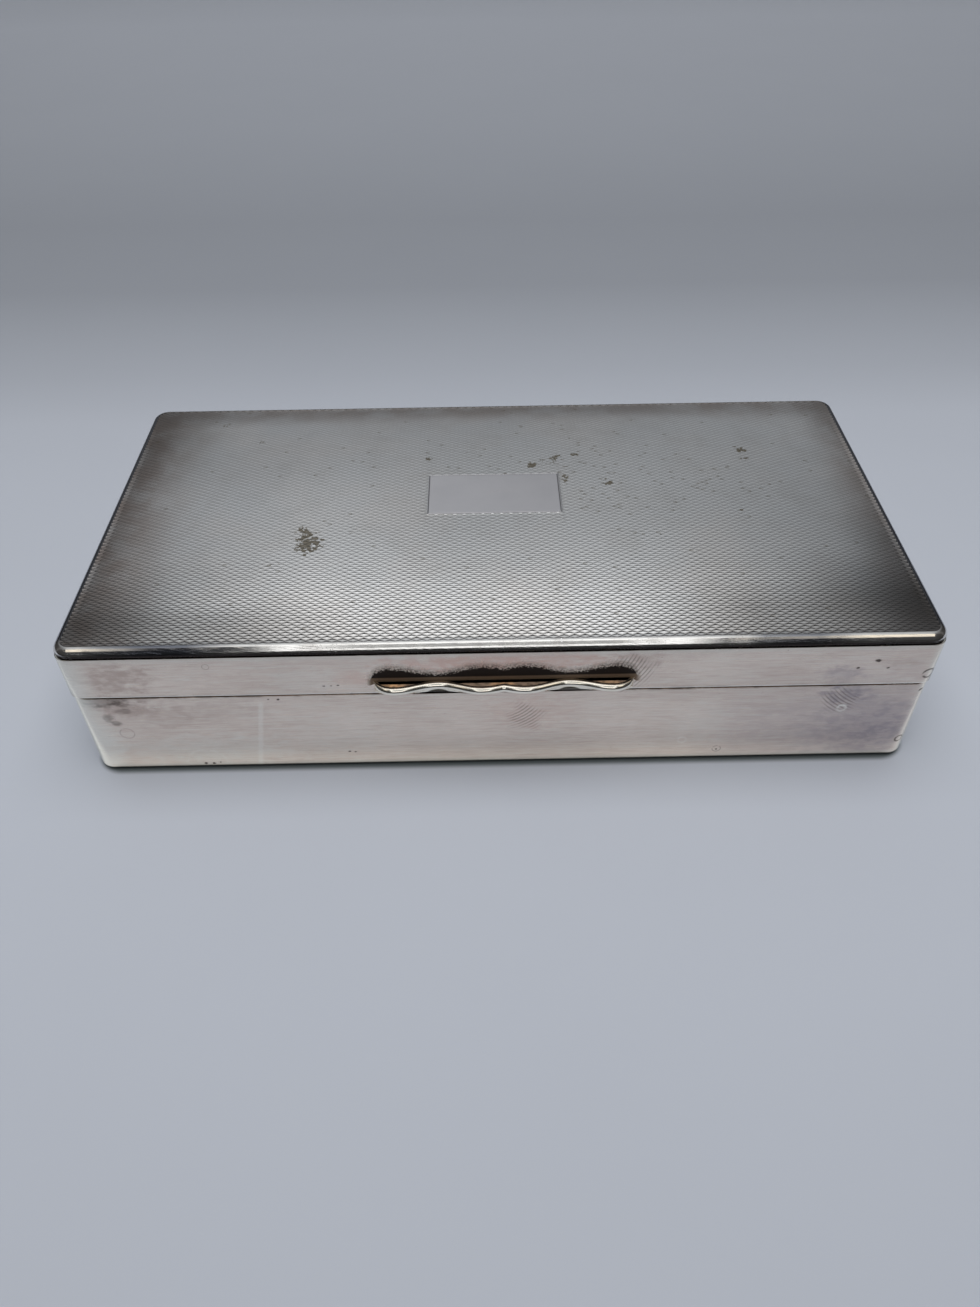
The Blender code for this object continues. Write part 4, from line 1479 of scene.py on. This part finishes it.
def cut_hinge_groove(piece):
    """Takes the round channel of the hinge out of a wall, and keeps the result as the wall's own mesh."""
    length = pin_high.x - pin_low.x + GROOVE_SPARE
    cutter = add_mesh("groove", hinge_rod(GROOVE_RADIUS, length, GROOVE_SEGMENTS))
    cut = piece.modifiers.new("groove", "BOOLEAN")
    cut.operation = "DIFFERENCE"
    cut.solver = "EXACT"
    cut.object = cutter
    evaluated = piece.evaluated_get(bpy.context.evaluated_depsgraph_get())
    carved = bpy.data.meshes.new_from_object(evaluated)
    piece.modifiers.clear()
    piece.data = carved
    bpy.data.objects.remove(cutter)
    print("grooved", piece.name, "to", len(carved.polygons), "faces")


cut_hinge_groove(finish_piece(lid_wall(), "lid_wall", [walls], "lid", ["lid_band"]))

# %% The base's wall
FOOT_WIDTH = 1.8 * MM
FOOT_ROUND = 0.9 * MM
FOOT_RISE = 0.5 * MM
FOOT_SEGMENTS = 6


def base_wall():
    """The base's wall. Its foot is rolled in below to hold the bottom sheet, which reaches a little lower."""
    low = Vector((-base_high.x, -base_high.y, base_low.z + FOOT_RISE))
    high = Vector((base_high.x, base_high.y, base_high.z))
    bm = rounded_block(low, high, BASE_RADIUS)
    break_edges(bm, list(level_face(bm, low.z).edges), FOOT_ROUND, FOOT_SEGMENTS)
    top = level_face(bm, high.z)
    draw_in(bm, top, SHEET)
    sunk = bmesh.ops.extrude_face_region(bm, geom=[top])["geom"]
    bmesh.ops.delete(bm, geom=[top], context="FACES_ONLY")
    drop = (0.0, 0.0, base_low.z + SHEET - high.z)
    bmesh.ops.translate(bm, vec=drop, verts=only(bmesh.types.BMVert, sunk))
    ledge = only(bmesh.types.BMFace, sunk)[0]
    draw_in(bm, ledge, FOOT_WIDTH - SHEET)
    under = level_face(bm, low.z)
    draw_in(bm, under, FOOT_WIDTH - FOOT_ROUND)
    hole_edges = list(ledge.edges) + list(under.edges)
    bmesh.ops.delete(bm, geom=[ledge, under], context="FACES_ONLY")
    bmesh.ops.bridge_loops(bm, edges=hole_edges)
    break_rims(bm, high.z - 10 * NEAR)
    return bm


cut_hinge_groove(finish_piece(base_wall(), "base_wall", [walls], "base", ["base_band"]))

# %% [markdown]
# ## The thumbpiece
# A cast ledge under which a thumb lifts the lid. From above its edge is a slow wave with a notch in the middle.
# A rolled lip runs along it, and below the lip the face draws in under the lobes. The outline is one formula,
# sampled finely. It is drawn up ring by ring, and insets make the lip's flat and the dish behind it.

# %% The thumbpiece
UNDERCUT_SHARE = 0.48
LET_IN = 0.65
TIP_STEPS = 10
SIDE_STEPS = 48
LIP_FLAT = 0.40
LIP_FALL = (0.14, 0.12)
DISH_FALL = (0.10, 0.13)
LEDGE_SECTION = [
    (0.00, 0.00, 0.10), (0.10, 0.05, 0.00), (0.35, 0.55, 0.15), (0.50, 0.92, 0.20), (0.68, 1.00, 0.06),
    (0.95, 1.00, 0.00), (1.16, 1.00, 0.03), (1.36, 1.00, 0.11), (1.54, 1.00, 0.24), (1.66, 1.00, 0.38),
    (1.74, 1.00, 0.52), (1.785, 1.00, 0.66), (1.80, 1.00, 0.80),
]


def ledge_reach(x, rise_share, setback):
    """The reach on one ring of the face: from the drawn-in foot (0) to the lip (1), less a setback."""
    full = thumb_reach(x)
    drawn_in = min(full, WAIST_REACH + (full - WAIST_REACH) * UNDERCUT_SHARE)
    return max(drawn_in + (full - drawn_in) * rise_share - setback * min(full, 1.0), 0.0)


def thumb_places():
    """Places along the edge from the left tip to the right one, closer together round the tips."""
    turns = [QUARTER_TURN * step / TIP_STEPS for step in range(1, TIP_STEPS + 1)]
    tips = [END_PLACE + (TIP_PLACE - END_PLACE) * math.sin(turn) for turn in turns]
    middle = [END_PLACE * step / SIDE_STEPS for step in range(-SIDE_STEPS, SIDE_STEPS + 1)]
    return [-place for place in reversed(tips)] + middle + tips


def thumbpiece():
    """The ledge, its back let into the wall by most of the sheet's thickness."""
    bm = bmesh.new()
    dish_note = bm.verts.layers.float.new("dish")
    wall_y = -lid_high.y
    back_y = wall_y + LET_IN * MM
    places = thumb_places()

    def on_ring(height, rise_share, setback):
        def place_for(place):
            if place.y > wall_y + 0.5 * LET_IN * MM:
                return Vector((place.x, back_y, thumb_low.z + height * MM))
            x = place.x / MM - THUMB_SHIFT
            reach = ledge_reach(x, rise_share, setback)
            return Vector((place.x, wall_y - reach * MM, thumb_low.z + height * MM))
        return place_for

    ends = [(x + THUMB_SHIFT) * MM for x in (places[0], places[-1])]
    verts = [bm.verts.new((ends[0], back_y, thumb_low.z))]
    verts += [bm.verts.new(((x + THUMB_SHIFT) * MM, wall_y, thumb_low.z)) for x in places]
    verts.append(bm.verts.new((ends[1], back_y, thumb_low.z)))
    first_ring = on_ring(*LEDGE_SECTION[0])
    for vert in verts:
        vert.co = first_ring(vert.co)
    underside = bm.faces.new(verts)
    rim = list(underside.edges)
    for section in LEDGE_SECTION[1:]:
        rim = draw_rim(bm, rim, on_ring(*section), 0)
    top = bmesh.ops.edgeloop_fill(bm, edges=rim)["faces"][0]
    bmesh.ops.recalc_face_normals(bm, faces=bm.faces)
    for thickness, fall in ((LIP_FLAT, 0.0), LIP_FALL, DISH_FALL):
        draw_in(bm, top, thickness * MM, -fall * MM)
    for vert in top.verts:
        vert[dish_note] = 1.0
        vert.co.y = min(vert.co.y, wall_y + 10 * NEAR)
    return bm


finish_piece(thumbpiece(), "thumb_ledge", [thumb_finish], "lid", ["lid_thumbpiece"])

# %% [markdown]
# ## The hinge
# Seven short tubes on one wire, by turns on the base and on the lid. Each tube is the section of its wall spun
# round the hinge's axis, with its ends broken.

# %% The hinge's knuckles and pin
KNUCKLE_RADIUS = 1.4 * MM
BORE = 0.9 * MM
PIN_RADIUS = 0.6 * MM
END_BREAK = 0.15 * MM
TUBE_SEGMENTS = 40
PIN_SEGMENTS = 32


def spun_section(section):
    """Spins a closed section of (x, reach) points round the hinge's axis."""
    bm = bmesh.new()
    verts = [bm.verts.new((x, hinge_axis.y, hinge_axis.z + reach)) for x, reach in section]
    edges = [bm.edges.new((vert, verts[index - 1])) for index, vert in enumerate(verts)]
    about = {"cent": hinge_axis, "axis": (1.0, 0.0, 0.0), "dvec": (0.0, 0.0, 0.0), "angle": 4 * QUARTER_TURN}
    bmesh.ops.spin(bm, geom=verts + edges, steps=TUBE_SEGMENTS, use_merge=True, use_duplicate=False, **about)
    return bm


def knuckle(node, body):
    """One tube with broken ends."""
    low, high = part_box(node)
    shoulder = KNUCKLE_RADIUS - END_BREAK
    section = [(low.x, BORE), (high.x, BORE), (high.x, shoulder), (high.x - END_BREAK, KNUCKLE_RADIUS)]
    section += [(low.x + END_BREAK, KNUCKLE_RADIUS), (low.x, shoulder)]
    finish_piece(spun_section(section), node + "_tube", [hinge_finish], body, [node])


def pin():
    """The wire, its ends slightly domed."""
    bm = hinge_rod(PIN_RADIUS, pin_high.x - pin_low.x, PIN_SEGMENTS)
    break_edges(bm, [edge for edge in bm.edges if apart(edge, 0) < NEAR], END_BREAK, 3)
    finish_piece(bm, "hinge_wire", [hinge_finish], "base", ["hinge_pin"])


for number in range(1, 5):
    knuckle(f"base_knuckle_{number}", "base")
for number in range(1, 4):
    knuckle(f"lid_knuckle_{number}", "lid")
pin()

# %% [markdown]
# ## The lining and the strips
# Boards, floor, divider, bottom sheet and the two strips beside the hinge have the right shape already. Their
# solids are copied, merged and given broken edges, because a planed board never ends in a knife edge.

# %% Lining, bottom sheet and hinge strips
BOARD_BREAK = 0.25 * MM
STRIP_BREAK = 0.12 * MM
for board in ("cedar_front_board", "cedar_back_board", "cedar_floor"):
    soften_copy(board, "base", cedar_x, BOARD_BREAK)
for board in ("cedar_left_board", "cedar_right_board", "cedar_divider"):
    soften_copy(board, "base", cedar_y, BOARD_BREAK)
soften_copy("base_plate", "base", hidden_finish, STRIP_BREAK)
soften_copy("base_hinge_bearer", "base", hinge_finish, STRIP_BREAK)
soften_copy("lid_hinge_bearer", "lid", hinge_finish, STRIP_BREAK)
